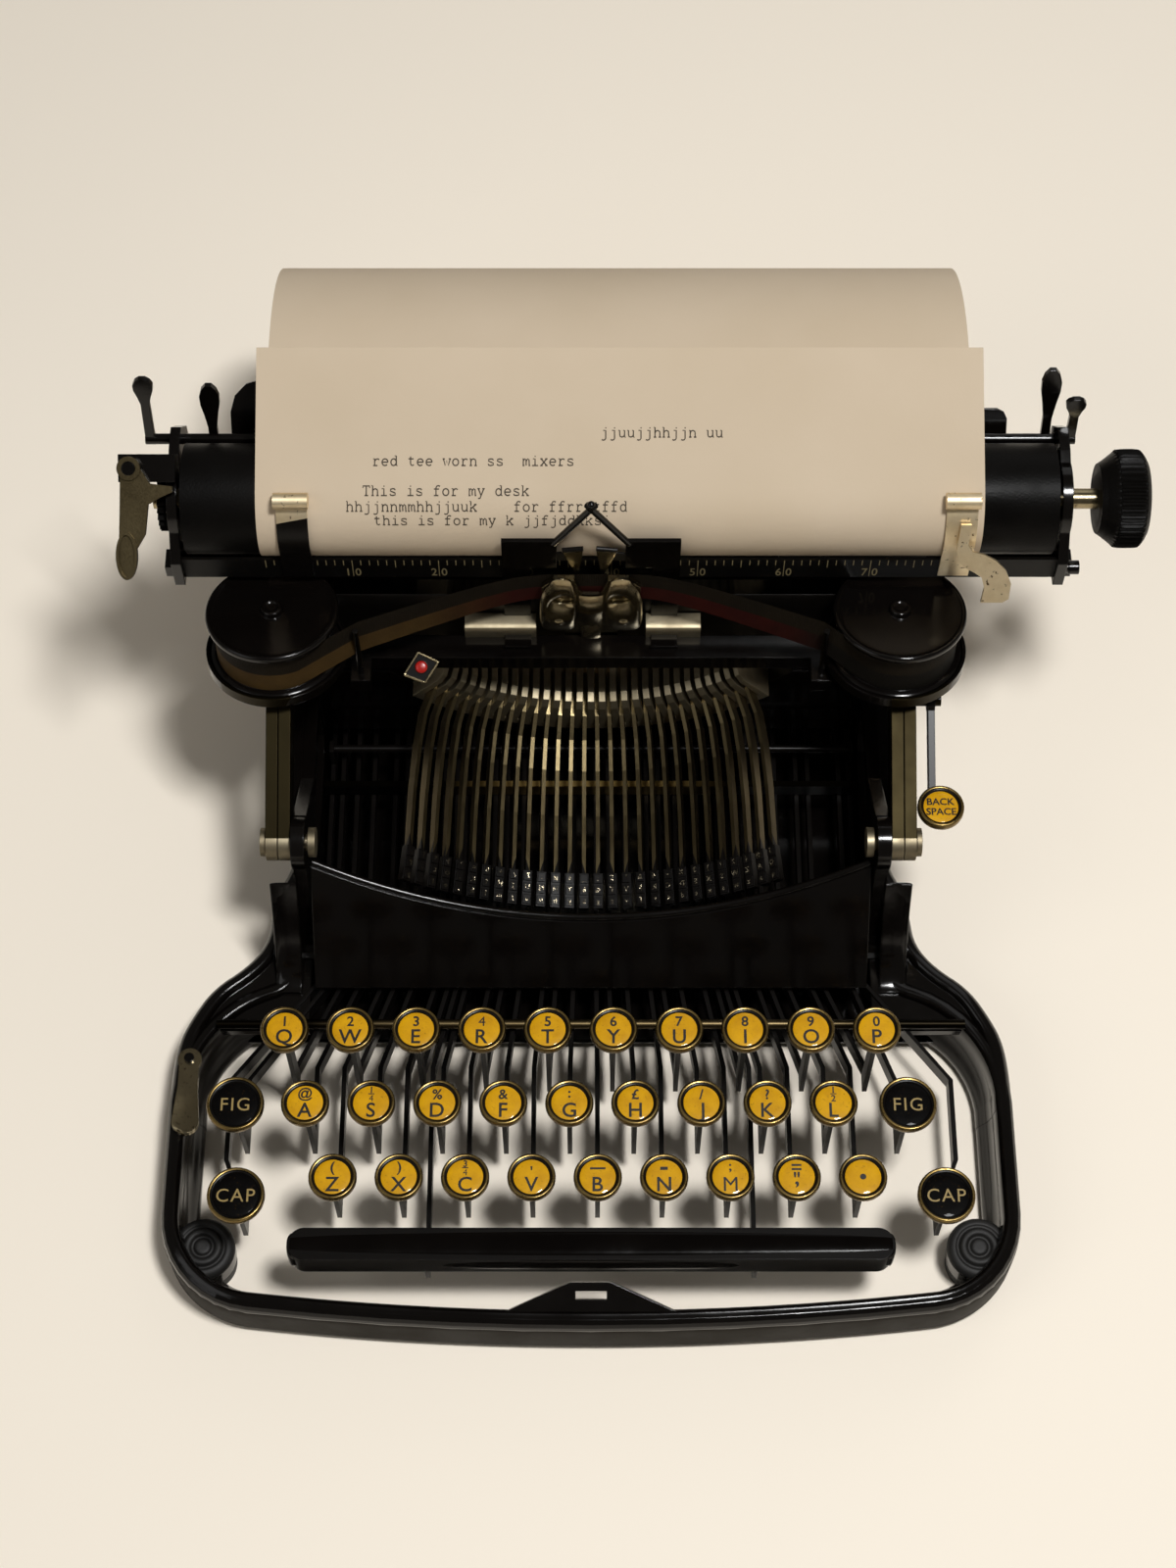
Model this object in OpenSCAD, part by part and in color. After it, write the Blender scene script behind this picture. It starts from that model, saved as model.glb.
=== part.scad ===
// Folding three-bank portable typewriter, in millimetres.
// The machine is drawn about the middle of its base: x to the right, y to the back, z up from the table.
// placed() then moves every piece so that the origin lies under the middle of the whole outline.

/* [Base] */
// Width of the keyboard bow, outside
base_w = 254; // [246:1:262]
// Outer radius of the bow's front corners
corner_r = 30; // [24:1:36]
// Width of the cast rail at its foot
rail_w = 9.3; // [8.5:0.1:10.5]
// Height of the cast rail
rail_h = 18; // [16:0.5:20]
// Thickness of the upright side plates behind the bow
plate_t = 4.5; // [3.5:0.5:6]
// Height of the rubber feet under the rail
foot_h = 6; // [5:0.5:8]
// Diameter of the rubber feet
foot_d = 17; // [14:0.5:19]

/* [Keyboard] */
// Distance between neighbouring keys of a row
key_pitch = 19.1; // [18.5:0.1:19.6]
// Distance from one row of keys to the next
row_step = 20; // [19:0.5:21]
// How much higher each row stands than the one before it
row_rise = 7; // [5:0.5:9]
// Height of the front row's key tops above the table
key_top_z = 43; // [41:0.5:47]
// Diameter of a letter key
key_d = 13.6; // [12.5:0.1:14.5]
// Diameter of a shift key
shift_key_d = 16.3; // [14.5:0.1:17]
// Thickness of the sheet-steel key levers
lever_t = 1.4; // [1.2:0.1:1.6]
// Depth of the key levers
lever_h = 6; // [5:0.5:6.5]
// Diameter of the rod that all key levers turn on
fulcrum_d = 3.6; // [3:0.1:4]
// Length of the space bar
space_bar_len = 174; // [150:1:178]
// Turn of a key lever from rest to its stop, in degrees
key_turn = 3.5; // [3:0.1:3.6]

/* [Type basket] */
// Length of a typebar from its pivot to the type
bar_len = 75; // [73:0.5:76]
// Angle from the middle typebar to the last one on a side
basket_angle = 39; // [36:0.5:40]
// How far the typebars dip from their pivots to the type at rest, in degrees
bar_dip = 11; // [8:0.5:12]
// Thickness of a typebar
bar_t = 1.2; // [1:0.05:1.3]
// Width of a segment slot
slot_w = 1.5; // [1.4:0.05:1.7]

/* [Carriage] */
// Diameter of the rubber platen
platen_d = 32.4; // [31:0.1:33]
// Length of the rubber platen
platen_len = 253.7; // [245:0.1:258]
// Diameter of the platen shaft
shaft_d = 6; // [5:0.1:7]
// Diameter of the platen knob
knob_d = 28.6; // [26:0.1:30]
// Width of the platen knob
knob_w = 14; // [12:0.5:16]
// Number of grooves round the platen knob
knob_grooves = 44; // [32:1:56]
// How far the carriage stands to the right of the middle
carriage_x = 8.3; // [-10:0.1:15]
// Width of the sheet of paper
paper_w = 210; // [200:1:216]
// Length of the sheet of paper
paper_len = 297; // [280:1:300]

/* [Ribbon] */
// Diameter of a ribbon spool's cover
spool_d = 39; // [36:0.5:40]
// Width of the ribbon
ribbon_w = 13; // [12:0.5:13.5]
// How far the spools lean back, in degrees
spool_lean = 11; // [8:0.5:12]

/* [Hidden] */
$fn = 48;
gap = 0.3;          // clearance between pieces that move or seat beside each other
run_gap = 0.05;     // radial clearance of a shaft in its bore
bite = 0.5;         // overlap that fuses two shapes of one piece

// The base: z of the rail's foot, its front, neck and rear
rail_z = 3;
rail_top = rail_z + rail_h;
base_front = -117;
front_bulge_r = 900;        // the front rail is a shallow arc of this radius
shoulder_r = 36;            // the bow's shoulder, then the hollow that leads into the neck
shoulder_turn = 72;
hollow_r = 12;
side_run = 35;              // straight stretch of the bow's sides
rail_mid_x = base_w / 2 - rail_w / 2;
corner_mid_r = corner_r - rail_w / 2;
front_turn = asin((rail_mid_x - corner_mid_r) / (front_bulge_r - corner_mid_r));
shoulder_y = base_front + rail_w / 2 + front_bulge_r * (1 - cos(front_turn))
    + corner_mid_r * cos(front_turn) + side_run;
neck_x = rail_mid_x - (shoulder_r + hollow_r) * (1 - cos(shoulder_turn));
neck_y = shoulder_y + (shoulder_r + hollow_r) * sin(shoulder_turn);
plate_x = neck_x - rail_w / 2;      // inner face of the side plates

// The print point, where every typebar meets the paper, and the platen behind it
platen_r = platen_d / 2;
platen_y = 102.2;
platen_z = 121;
print_y = platen_y - platen_r;
print_z = platen_z - 2;

// Key levers: a rod at the back, and straight strips drawn together in front of the basket
fulcrum_y = 98;
lever_z = 14;
lever_top = lever_z + lever_h;
fulcrum_z = lever_z + lever_h / 2;
eye_r = lever_h / 2 + 1;
gather_front = -36;
gather_back = -4;
stem_w = 5;
cup_h = 4;
rear_y = fulcrum_y + 10;

// Keys: name, column within the row; the front row comes first
row_names = [
    ["z", "x", "c", "v", "b", "n", "m", "comma", "period"],
    ["a", "s", "d", "f", "g", "h", "j", "k", "l"],
    ["q", "w", "e", "r", "t", "y", "u", "i", "o", "p"]
];
row_start = [-3.9, -4.33, -4.66];   // first key of each row, in key pitches from the middle
front_row_y = -79;
KEYS = [for (r = [0:2]) for (c = [0:len(row_names[r]) - 1])
    [str("key_", row_names[r][c]), (row_start[r] + c) * key_pitch, front_row_y + r * row_step,
        key_top_z + r * row_rise]];
// Shift keys: the letter-shift pair stands by the front row, the figure-shift pair by the middle row
cap_x = (row_start[0] + len(row_names[0]) - 1) * key_pitch + 23.7;
cap_y = front_row_y - 5.5;
fig_left_x = row_start[1] * key_pitch - 20.3;
fig_right_x = (row_start[1] + len(row_names[1]) - 1) * key_pitch + 21.6;
fig_y = front_row_y + row_step;
bow_lane = 5.5;                     // the letter-shift levers bow out round the figure-shift keys by this much
cap_bow_x = bow_lane - fig_left_x;
cap_lever_x = plate_x - 2.2;
fig_lever_x = plate_x - 5.5;
lever_lane = 4.7;                   // room for the outermost letter lever beside the figure-shift lever
lever_gather = (fig_lever_x - lever_lane) / (-row_start[2] * key_pitch);
space_y = front_row_y - 18.5;
space_depth = 9.5;
space_h = 11;
space_top = key_top_z - 5;
space_arm_x = 2.5 * key_pitch;      // the two arms run midway between neighbouring levers

// The fold: pivots on the side plates, arms outside them
pivot_y = 19;
pivot_z = 62;
pivot_r = 2.5;
boss_r = 8;
arm_x = plate_x + plate_t + gap;
arm_t = 3.5;
arm_w = 11;
arm_out = arm_x + 2 * arm_t + gap;

// Ribbon spools: middle of the cover's top face
spool_x = [-94, 91];                // the left spool stands a little further out
spool_y = 74.5;
spool_z = 104;
spool_h = ribbon_w + 4.5;
cup_r = spool_d / 2 + 1.5;
cup_t = 2;
spindle_r = 2;

// The bed that the carriage slides on, under the platen
bed_top = platen_z - 33.5;
bed_h = 9.5;
bed_x = arm_x - 2;
rail_front_y = platen_y - 6;
rail_back_y = platen_y + 22;
track_w = 6.5;
track_h = 5;

// The carriage ends, from the platen's ends
end_t = 3;
end_gap = 1.5;
left_end = carriage_x - platen_len / 2;
right_end = carriage_x + platen_len / 2;
track_len = platen_len + 20;
finger_in = platen_r + 0.9;
finger_t = 0.9;
scale_y = -16.4;                    // front face of the scale, from the platen's axis
scale_t = 1.2;

// The sheet: where it leaves the platen, and how it falls behind the machine
paper_t = 0.3;
paper_r = platen_r + gap;
paper_lead = 41;                    // straight stretch from the platen to the top edge
paper_off = 113;                    // angle round the platen where the sheet leaves it, above the front
paper_on = -40;                     // angle where it meets the platen, under the back

// The whole outline, for the origin
outline_left = left_end - 18.7;
outline_right = right_end + 27.3;
outline_back = platen_y + 127;
origin_x = (outline_left + outline_right) / 2;
origin_y = (base_front + outline_back) / 2;

module placed() {
    translate([-origin_x, -origin_y, 0]) children();
}

module both_sides() {
    children();
    mirror([1, 0, 0]) children();
}

// A side profile, drawn as (y, z), made solid from x0 to x1
module along_x(x0, x1) {
    translate([x0, 0, 0]) rotate([90, 0, 90]) linear_extrude(x1 - x0) children();
}

module rod_x(x0, x1, r, y, z) {
    translate([x0, y, z]) rotate([0, 90, 0]) cylinder(h = x1 - x0, r = r);
}

// A link drawn as (y, z) from point a to point b, with round ends a little wider than the strip between
module link_profile(a, b, w) {
    d = b - a;
    strip = 0.985 * w;
    translate(a) circle(d = w);
    translate(b) circle(d = w);
    translate(a) rotate(atan2(d[1], d[0])) translate([0, -strip / 2]) square([norm(d), strip]);
}

// A ring sector drawn as (y, z) about the platen's axis, from angle a0 to a1
module ring_profile(r0, r1, a0, a1) {
    intersection() {
        difference() {
            circle(r = r1);
            circle(r = r0);
        }
        polygon(concat([[0, 0]],
            [for (i = [0:6]) let (a = a0 + (a1 - a0) * i / 6) 2 * r1 * [cos(a), sin(a)]]));
    }
}

// The cast rail of the base, cut across: the inner side is +x, z counts from the rail's foot
rail_round = 3.6;
rail_outline = let (h = rail_w / 2) concat(
    [[-h, 0], [h, 0], [h, 2.5], [0.3 * h, 0.45 * rail_h], [0.15 * h, rail_h - 1.5], [-0.1 * h, rail_h]],
    [for (a = [90:22.5:180])
        [-h + rail_round + rail_round * cos(a), rail_h - rail_round + rail_round * sin(a)]]);
// The rail's course on the right, from the middle of the front: [0, length] runs straight, [radius, angle]
// bends left and a negative radius bends right; the last number is how many steps the stretch is drawn in
bow = [[front_bulge_r, front_turn, 5], [corner_mid_r, 90 - front_turn, 9], [0, side_run, 1],
    [shoulder_r, shoulder_turn, 8], [-hollow_r, shoulder_turn, 6], [0, rear_y - neck_y, 1]];
// A pose is [x, y, heading]
function along(p, s, t) = s[0] == 0
    ? [p[0] + s[1] * t * cos(p[2]), p[1] + s[1] * t * sin(p[2]), p[2]]
    : let (h = p[2] + sign(s[0]) * s[1] * t)
        [p[0] + s[0] * (sin(h) - sin(p[2])), p[1] - s[0] * (cos(h) - cos(p[2])), h];
bow_start = [0, base_front + rail_w / 2, 0];
function bow_pose(i) = i == 0 ? bow_start : along(bow_pose(i - 1), bow[i - 1], 1);
right_half = [for (i = [0:len(bow) - 1]) for (k = [1:bow[i][2]]) along(bow_pose(i), bow[i], k / bow[i][2])];
function rail_ring(p, side) = [for (q = rail_outline)
    [side * (p[0] - q[0] * sin(p[2])), p[1] + q[0] * cos(p[2]), rail_z + q[1]]];
module bow_rail() {
    n = len(rail_outline);
    m = len(right_half);
    rings = concat([for (i = [m - 1:-1:0]) rail_ring(right_half[i], -1)], [rail_ring(bow_start, 1)],
        [for (p = right_half) rail_ring(p, 1)]);
    points = [for (r = rings) for (q = r) q];
    last = (len(rings) - 1) * n;
    walls = [for (i = [0:len(rings) - 2]) for (k = [0:n - 1]) let (j = (k + 1) % n)
        [i * n + j, i * n + k, (i + 1) * n + k, (i + 1) * n + j]];
    polyhedron(points, concat([[for (k = [0:n - 1]) k]], walls, [[for (k = [n - 1:-1:0]) last + k]]));
}

// Side plate drawn as (y, z): it sweeps up from the rail to the hinge boss and has a post at the back
plate_front = neck_y + 1;
wall_z = 50;
post_z = bed_top - bed_h - gap;
post_w = 9;
module plate_profile() {
    rise_y = pivot_y - 6 - plate_front;
    rise_z = pivot_z - rail_top;
    difference() {
        union() {
            polygon(concat(
                [[plate_front, rail_z], [rear_y, rail_z], [rear_y, post_z], [rear_y - post_w, post_z],
                 [rear_y - post_w - 4, wall_z], [pivot_y + 28, wall_z], [pivot_y + 5, pivot_z + 5]],
                [for (t = [1:-0.125:0]) [plate_front + rise_y * t, rail_top - 1 + rise_z * t * t]]));
            translate([pivot_y, pivot_z]) circle(r = boss_r);
        }
        polygon([[34, 29], [38, 25], [70, 25], [74, 29], [74, 40], [70, 44], [38, 44], [34, 40]]);
    }
}

cheek_out = plate_x + plate_t + 7.4;
cheek_back = pivot_y - boss_r - 1;
module cheek_profile() {
    front = neck_y - 10.5;
    rise = pivot_z - 9 - rail_top;
    polygon(concat([[front, rail_z], [cheek_back, rail_z]],
        [for (t = [1:-0.125:0]) [front + (cheek_back - front) * t, rail_top - 1 + rise * t * t]]));
}

// The segment bridge carries the type segment between the side plates
segment_in = bar_len - 7;
segment_out = bar_len + 9;
segment_front = print_y - 13;
segment_back = print_y + 4;
bridge_z = lever_top + 6;
bridge_top = 62;
module segment_bridge() {
    difference() {
        translate([-plate_x - bite, print_y - 8, bridge_z])
            cube([2 * (plate_x + bite), segment_back - print_y + 8, bridge_top - bridge_z]);
        translate([0, 0, print_z]) rotate([-90, 0, 0]) cylinder(h = 200, r = segment_out + gap);
    }
}

foot_x = rail_mid_x - 8;
foot_y = base_front + 26;
lug_top = 13;
module foot_lug() {
    translate([foot_x, foot_y, foot_h]) cylinder(h = lug_top - foot_h, r = foot_d / 2 + 0.5);
    translate([foot_x, foot_y, lug_top - bite]) cylinder(h = 2, r = foot_d / 2 - 2);
}

// Tab on the front rail that the space bar stands behind
tab_w = 50;
tab_slope = 25;
module front_tab() {
    translate([0, base_front + 0.6 * rail_w, rail_top - 2]) rotate([tab_slope, 0, 0])
        linear_extrude(2.5) difference() {
            polygon([[-tab_w / 2, 0], [tab_w / 2, 0], [6, 8.5], [-6, 8.5]]);
            translate([-4.5, 3.5]) square([9, 2.5]);
        }
}

// Stud for the shift lock on the left shoulder
lock_y = shoulder_y + 12;
lock_x = rail_mid_x - shoulder_r + sqrt(pow(shoulder_r, 2) - pow(lock_y - shoulder_y, 2)) + 0.8;
lock_r = 1.5;
lock_z = rail_top + 0.4;

module base_frame() {
    bore = plate_x + plate_t;
    color("#1b1a19") difference() {
        union() {
            bow_rail();
            both_sides() {
                along_x(plate_x + 0.4, plate_x + plate_t) plate_profile();
                along_x(plate_x + plate_t - bite, cheek_out) cheek_profile();
                foot_lug();
            }
            segment_bridge();
            translate([-plate_x - bite, rear_y - 3.5, rail_z]) cube([2 * (plate_x + bite), 3.5, 9]);
            front_tab();
            translate([-lock_x, lock_y, rail_top - 1]) cylinder(h = 4.5, r = lock_r);
        }
        rod_x(-bore - 1, bore + 1, pivot_r + run_gap, pivot_y, pivot_z);
        rod_x(-bore, bore, fulcrum_d / 2 + run_gap, fulcrum_y, fulcrum_z);
        both_sides() translate([foot_x, foot_y, -1]) cylinder(h = foot_h + 1, r = foot_d / 2 + gap);
    }
}

// Sloping panel over the key levers, hollowed along its top edge so the type can be seen
panel_z = lever_top + 2;
panel_y = print_y - bar_len - 21;
panel_slope = 50;
panel_t = 1.6;
panel_len = 46;
panel_half = plate_x - gap;
panel_dip_z = 40;
panel_arc_r = 260;
module front_panel() {
    color("#141312") difference() {
        translate([-panel_half, panel_y, panel_z]) rotate([panel_slope, 0, 0])
            cube([2 * panel_half, panel_len, panel_t]);
        translate([0, -100, panel_dip_z + panel_arc_r]) rotate([-90, 0, 0])
            cylinder(h = 200, r = panel_arc_r);
    }
}

module rubber_feet() {
    color("#26231f") {
        both_sides() {
            translate([foot_x, foot_y, 0]) cylinder(h = foot_h, r = foot_d / 2);
            translate([neck_x, rear_y - 12, 0]) cylinder(h = rail_z, r = foot_d / 2 - 2);
        }
    }
}

// Typebars: angle of bar i from straight down, about the line through the print point
function bar_angle(i) = -basket_angle + 2 * basket_angle * i / (len(KEYS) - 1);
module about_print(a) {
    translate([0, print_y, print_z]) rotate([0, a, 0]) children();
}

module type_segment() {
    slot_floor = bar_len + 6.5;
    edge = 4;
    end_angle = basket_angle + 2;
    depth = segment_back - segment_front;
    color("#6f6b66") difference() {
        translate([0, segment_back, print_z]) rotate([90, 0, 0]) rotate([0, 0, -90 - end_angle])
            rotate_extrude(angle = 2 * end_angle)
                polygon([[segment_in, 0], [segment_out, 0], [segment_out, depth],
                    [segment_in + edge, depth], [segment_in + 0.3 * edge, depth - 0.3 * edge],
                    [segment_in, depth - edge]]);
        for (i = [0:len(KEYS) - 1])
            about_print(bar_angle(i)) translate([-slot_w / 2, -20, -slot_floor]) cube([slot_w, 40, 20]);
    }
}

// A typebar seen from the side, as [distance behind the print plane, radius, half depth]
bar_line = [[3, 0, 1.4], [1, 0, 2.6], [-2, 0, 2.6], [-8, 0, 2], [-13, 0.6, 1.9], [-20, 3.6, 1.8],
    [-30, 4.2, 1.7], [-45, 3.2, 1.5], [-60, 1.2, 1.3], [-70, 0, 1.2]];
slug_w = 2.9;
slug_len = 11;
module typebar() {
    n = len(bar_line);
    translate([-bar_t / 2, 0, 0]) rotate([90, 0, 90]) linear_extrude(bar_t)
        polygon(concat(
            [for (p = bar_line) [p[0], -bar_len - p[1] + p[2]]],
            [for (i = [n - 1:-1:0]) let (p = bar_line[i]) [p[0], -bar_len - p[1] - p[2]]]));
    translate([-slug_w / 2, -bar_len, -bar_len - 1.6]) cube([slug_w, slug_len, 2.6]);
    for (k = [0:2])
        translate([-slug_w / 2 + 0.3, -bar_len + 0.4 + k * slug_len / 3, -bar_len])
            cube([slug_w - 0.6, 2.8, 1.6]);
}

module typebars() {
    color("#8a857c") for (i = [0:len(KEYS) - 1]) about_print(bar_angle(i))
        translate([0, 0, -bar_len]) rotate([bar_dip, 0, 0]) translate([0, 0, bar_len]) typebar();
}

module fulcrum_rod() {
    half = plate_x + plate_t - 0.5;
    color("#9a958c") rod_x(-half, half, fulcrum_d / 2, fulcrum_y, fulcrum_z);
}

// Comb that keeps the levers apart, and the rod in front that they rest up against
comb_y = -3;
comb_t = 2.5;
comb_slot = lever_t + 0.5;
comb_floor = lever_z - (fulcrum_y - comb_y) * tan(key_turn) - 0.8;
stop_y = -23;
stop_r = 1.5;
stop_half = rail_mid_x - shoulder_r + sqrt(pow(shoulder_r, 2) - pow(stop_y - shoulder_y, 2));
LEVER_X = concat([for (k = KEYS) k[1] * lever_gather],
    [for (s = [-1, 1]) s * space_arm_x * lever_gather], [for (s = [-1, 1]) s * fig_lever_x],
    [for (s = [-1, 1]) s * cap_lever_x]);
module lever_comb() {
    half = plate_x - gap;
    color("#a29c90") {
        difference() {
            translate([-half, comb_y, comb_floor - 3])
                cube([2 * half, comb_t, lever_top + 0.8 - comb_floor + 3]);
            for (x = LEVER_X)
                translate([x - comb_slot / 2, comb_y - 1, comb_floor]) cube([comb_slot, comb_t + 2, 30]);
        }
        rod_x(-stop_half, stop_half, stop_r, stop_y, rail_top + stop_r + 0.1);
    }
}

// Bar across all levers in front of the basket
universal_y = 57;
module universal_bar() {
    half = plate_x - gap;
    color("#a29c90") translate([-half, universal_y, lever_top + 0.4]) cube([2 * half, 2, 5.5]);
}

// A key lever in plan: points from the key at the front to the fulcrum at the back
module lever_strip(path) {
    n = len(path);
    polygon(concat(
        [for (p = path) [p[0] - lever_t / 2, p[1]]],
        [for (i = [n - 1:-1:0]) [path[i][0] + lever_t / 2, path[i][1]]]));
}

module lever(path) {
    tail = path[len(path) - 1];
    difference() {
        union() {
            translate([0, 0, lever_z]) linear_extrude(lever_h) lever_strip(path);
            rod_x(tail[0] - lever_t / 2, tail[0] + lever_t / 2, eye_r, fulcrum_y, fulcrum_z);
        }
        rod_x(tail[0] - lever_t, tail[0] + lever_t, fulcrum_d / 2 + run_gap, fulcrum_y, fulcrum_z);
    }
}

// A key top: a dished cup with a rolled ring, its top edge at z = 0
module key_cup(d) {
    r = d / 2;
    rotate_extrude() polygon([[0, -cup_h], [r - 2, -cup_h], [r - 0.6, -cup_h + 1], [r, -cup_h + 2],
        [r, -0.9], [r - 0.3, -0.25], [r - 0.8, 0], [r - 1.3, -0.15], [r - 1.6, -0.6], [0, -0.6]]);
}

module stem_and_cup(x, y, top, d) {
    translate([x - lever_t / 2, y - stem_w / 2, lever_z])
        cube([lever_t, stem_w, top - cup_h + 0.4 - lever_z]);
    translate([x, y, top]) key_cup(d);
}

module letter_key(k) {
    x = k[1];
    color("#c9a24a") {
        lever([[x, k[2] - stem_w / 2], [x, gather_front], [x * lever_gather, gather_back],
            [x * lever_gather, fulcrum_y]]);
        stem_and_cup(x, k[2], k[3], key_d);
    }
}

// Each pair of shift keys is tied by a rod that passes over the letter levers in front of the fulcrum
tie_r = 1.2;
fig_tie = [fulcrum_y - 14, lever_top + 3];
cap_tie = [fulcrum_y - 28, lever_top + 7];
module tie_rod(half, at) {
    inside = half - lever_t / 2 - run_gap;
    rod_x(-inside, inside, tie_r, at[0], at[1]);
}

module tie_lug(x, at) {
    translate([x - lever_t / 2, at[0] - 2, lever_top - bite])
        cube([lever_t, 4, at[1] + tie_r + 0.4 - lever_top + bite]);
}

// Space bar on two arms
module space_bar() {
    x = space_arm_x;
    bar = space_bar_len - space_depth;
    color("#191817") {
        for (s = [-1, 1]) {
            lever([[s * x, space_y], [s * x, gather_front], [s * x * lever_gather, gather_back],
                [s * x * lever_gather, fulcrum_y]]);
            translate([s * x - lever_t / 2, space_y - stem_w / 2, lever_z])
                cube([lever_t, stem_w, space_top - 5 - lever_z]);
        }
        translate([-bar / 2, space_y - space_depth / 2, space_top - space_h])
            cube([bar, space_depth, space_h]);
        for (s = [-1, 1])
            translate([s * bar / 2, space_y, space_top - space_h]) cylinder(h = space_h, d = space_depth);
    }
}

module fig_shift_keys() {
    color("#191817") {
        for (k = [[fig_left_x, -fig_lever_x], [fig_right_x, fig_lever_x]]) {
            lever([[k[0], fig_y - stem_w / 2], [k[0], gather_front - 4], [k[1], gather_back - 2],
                [k[1], fulcrum_y]]);
            stem_and_cup(k[0], fig_y, key_top_z + 6, shift_key_d);
            tie_lug(k[1], fig_tie);
        }
        tie_rod(fig_lever_x, fig_tie);
    }
}

module cap_shift_keys() {
    color("#191817") {
        for (s = [-1, 1]) {
            lever([[s * cap_x, cap_y - stem_w / 2], [s * cap_x, cap_y + stem_w / 2],
                [s * cap_bow_x, cap_y + 19], [s * cap_bow_x, gather_front - 4],
                [s * cap_lever_x, gather_back - 2], [s * cap_lever_x, fulcrum_y]]);
            stem_and_cup(s * cap_x, cap_y, key_top_z, shift_key_d);
            tie_lug(s * cap_lever_x, cap_tie);
        }
        tie_rod(cap_lever_x, cap_tie);
    }
}

// Spoon that holds the letter shift down, on the left shoulder
module shift_lock() {
    color("#b9b4aa") difference() {
        union() {
            translate([-lock_x, lock_y, lock_z]) cylinder(h = 1.5, r = 3.6);
            translate([-lock_x - 3, lock_y - 20, lock_z]) cube([6, 20, 1.5]);
            translate([-lock_x, lock_y - 20, lock_z]) cylinder(h = 1.5, r = 4);
        }
        translate([-lock_x, lock_y, lock_z - 1]) cylinder(h = 4, r = lock_r + run_gap);
    }
}

// Frame that folds: arms from the pivots, cups under the spools, a front bar and side rails to the back
knee = [60, 81];
lean_t = tan(spool_lean);
function cup_under(y) = spool_z - spool_h - 1.6 - (y - spool_y + 3.4) * lean_t;
frame_back = rail_back_y + track_w + 8;
front_bar = [print_y - 15, print_y - 7];
front_bar_z = [76, 82];
post = [69, 66];
module at_spool(s) {
    translate([spool_x[s < 0 ? 0 : 1], spool_y, spool_z]) rotate([-spool_lean, 0, 0]) children();
}

module spool_cup() {
    floor_z = -spool_h - gap;
    rim_z = floor_z + 1.5;
    spindle_z = floor_z + spool_h - 3;
    rotate_extrude() polygon([[0, floor_z - cup_t], [cup_r, floor_z - cup_t], [cup_r, rim_z],
        [cup_r - 1, rim_z], [cup_r - 1, floor_z], [spindle_r, floor_z], [spindle_r, spindle_z],
        [0, spindle_z]]);
}

module side_rail_profile() {
    polygon([[56, 79], [61, 76], [frame_back, 76], [frame_back, bed_top - gap],
        [rail_front_y - 1, bed_top - gap], [rail_front_y - 2, cup_under(94)], [58, cup_under(58)]]);
}

backspace_y = 58;
backspace_z = 79.5;
backspace_r = 2;
module upper_frame() {
    color("#1b1a19") {
        both_sides() {
            difference() {
                union() {
                    along_x(arm_x, arm_x + arm_t) link_profile([pivot_y, pivot_z], knee, arm_w);
                    along_x(arm_x + arm_t + gap, arm_out) link_profile([pivot_y, pivot_z], knee, arm_w);
                }
                rod_x(arm_x - 1, arm_out + 1, pivot_r + run_gap, pivot_y, pivot_z);
            }
            along_x(arm_x, arm_x + arm_t) side_rail_profile();
            translate([arm_x, knee[0] - 4, knee[1] - 3]) cube([arm_out - arm_x, 8, 9.2]);
            translate([post[0] - 3, post[1] - 3, front_bar_z[0]])
                cube([6, front_bar[0] - post[1] + 4, front_bar_z[1] - front_bar_z[0]]);
            translate([post[0], post[1], front_bar_z[1] - 1])
                cylinder(h = spool_z + 3 - front_bar_z[1], r = 0.9);
        }
        for (s = [-1, 1]) at_spool(s) spool_cup();
        translate([-arm_x - 1, front_bar[0], front_bar_z[0]])
            cube([2 * arm_x + 2, front_bar[1] - front_bar[0], front_bar_z[1] - front_bar_z[0]]);
        translate([-arm_x - 1, frame_back - 5, 76]) cube([2 * arm_x + 2, 5, 7]);
        rod_x(arm_out - 1, arm_out + 8, backspace_r, backspace_y, backspace_z);
        translate([arm_out - 1 - 3.5, backspace_y - 3, backspace_z - 3]) cube([4, 8, 6]);
    }
}

module hinge_pins() {
    color("#b9b4aa") both_sides() {
        rod_x(plate_x - 1, arm_out + gap + 1, pivot_r, pivot_y, pivot_z);
        rod_x(plate_x - 2.5, plate_x - gap, pivot_r + 2, pivot_y, pivot_z);
        rod_x(arm_out + gap, arm_out + gap + 1.5, pivot_r + 1.8, pivot_y, pivot_z);
    }
}

// Backspace key on a thin lever beside the right arm
backspace_x = arm_out + 5;
backspace_key_y = 26;
backspace_key_z = 72;
module backspace_key() {
    tip = [backspace_key_y, backspace_key_z - cup_h - 2];
    color("#c9a24a") {
        difference() {
            along_x(backspace_x - 1, backspace_x + 1) {
                link_profile([backspace_y, backspace_z], tip, 4);
                translate([backspace_y, backspace_z]) circle(r = 4);
            }
            rod_x(backspace_x - 2, backspace_x + 2, backspace_r + run_gap, backspace_y, backspace_z);
        }
        translate([backspace_x - 1, tip[0] - 2, tip[1]]) cube([2, 4, 2.5]);
        translate([backspace_x + 2, backspace_key_y, backspace_key_z]) key_cup(key_d);
    }
}

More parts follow.
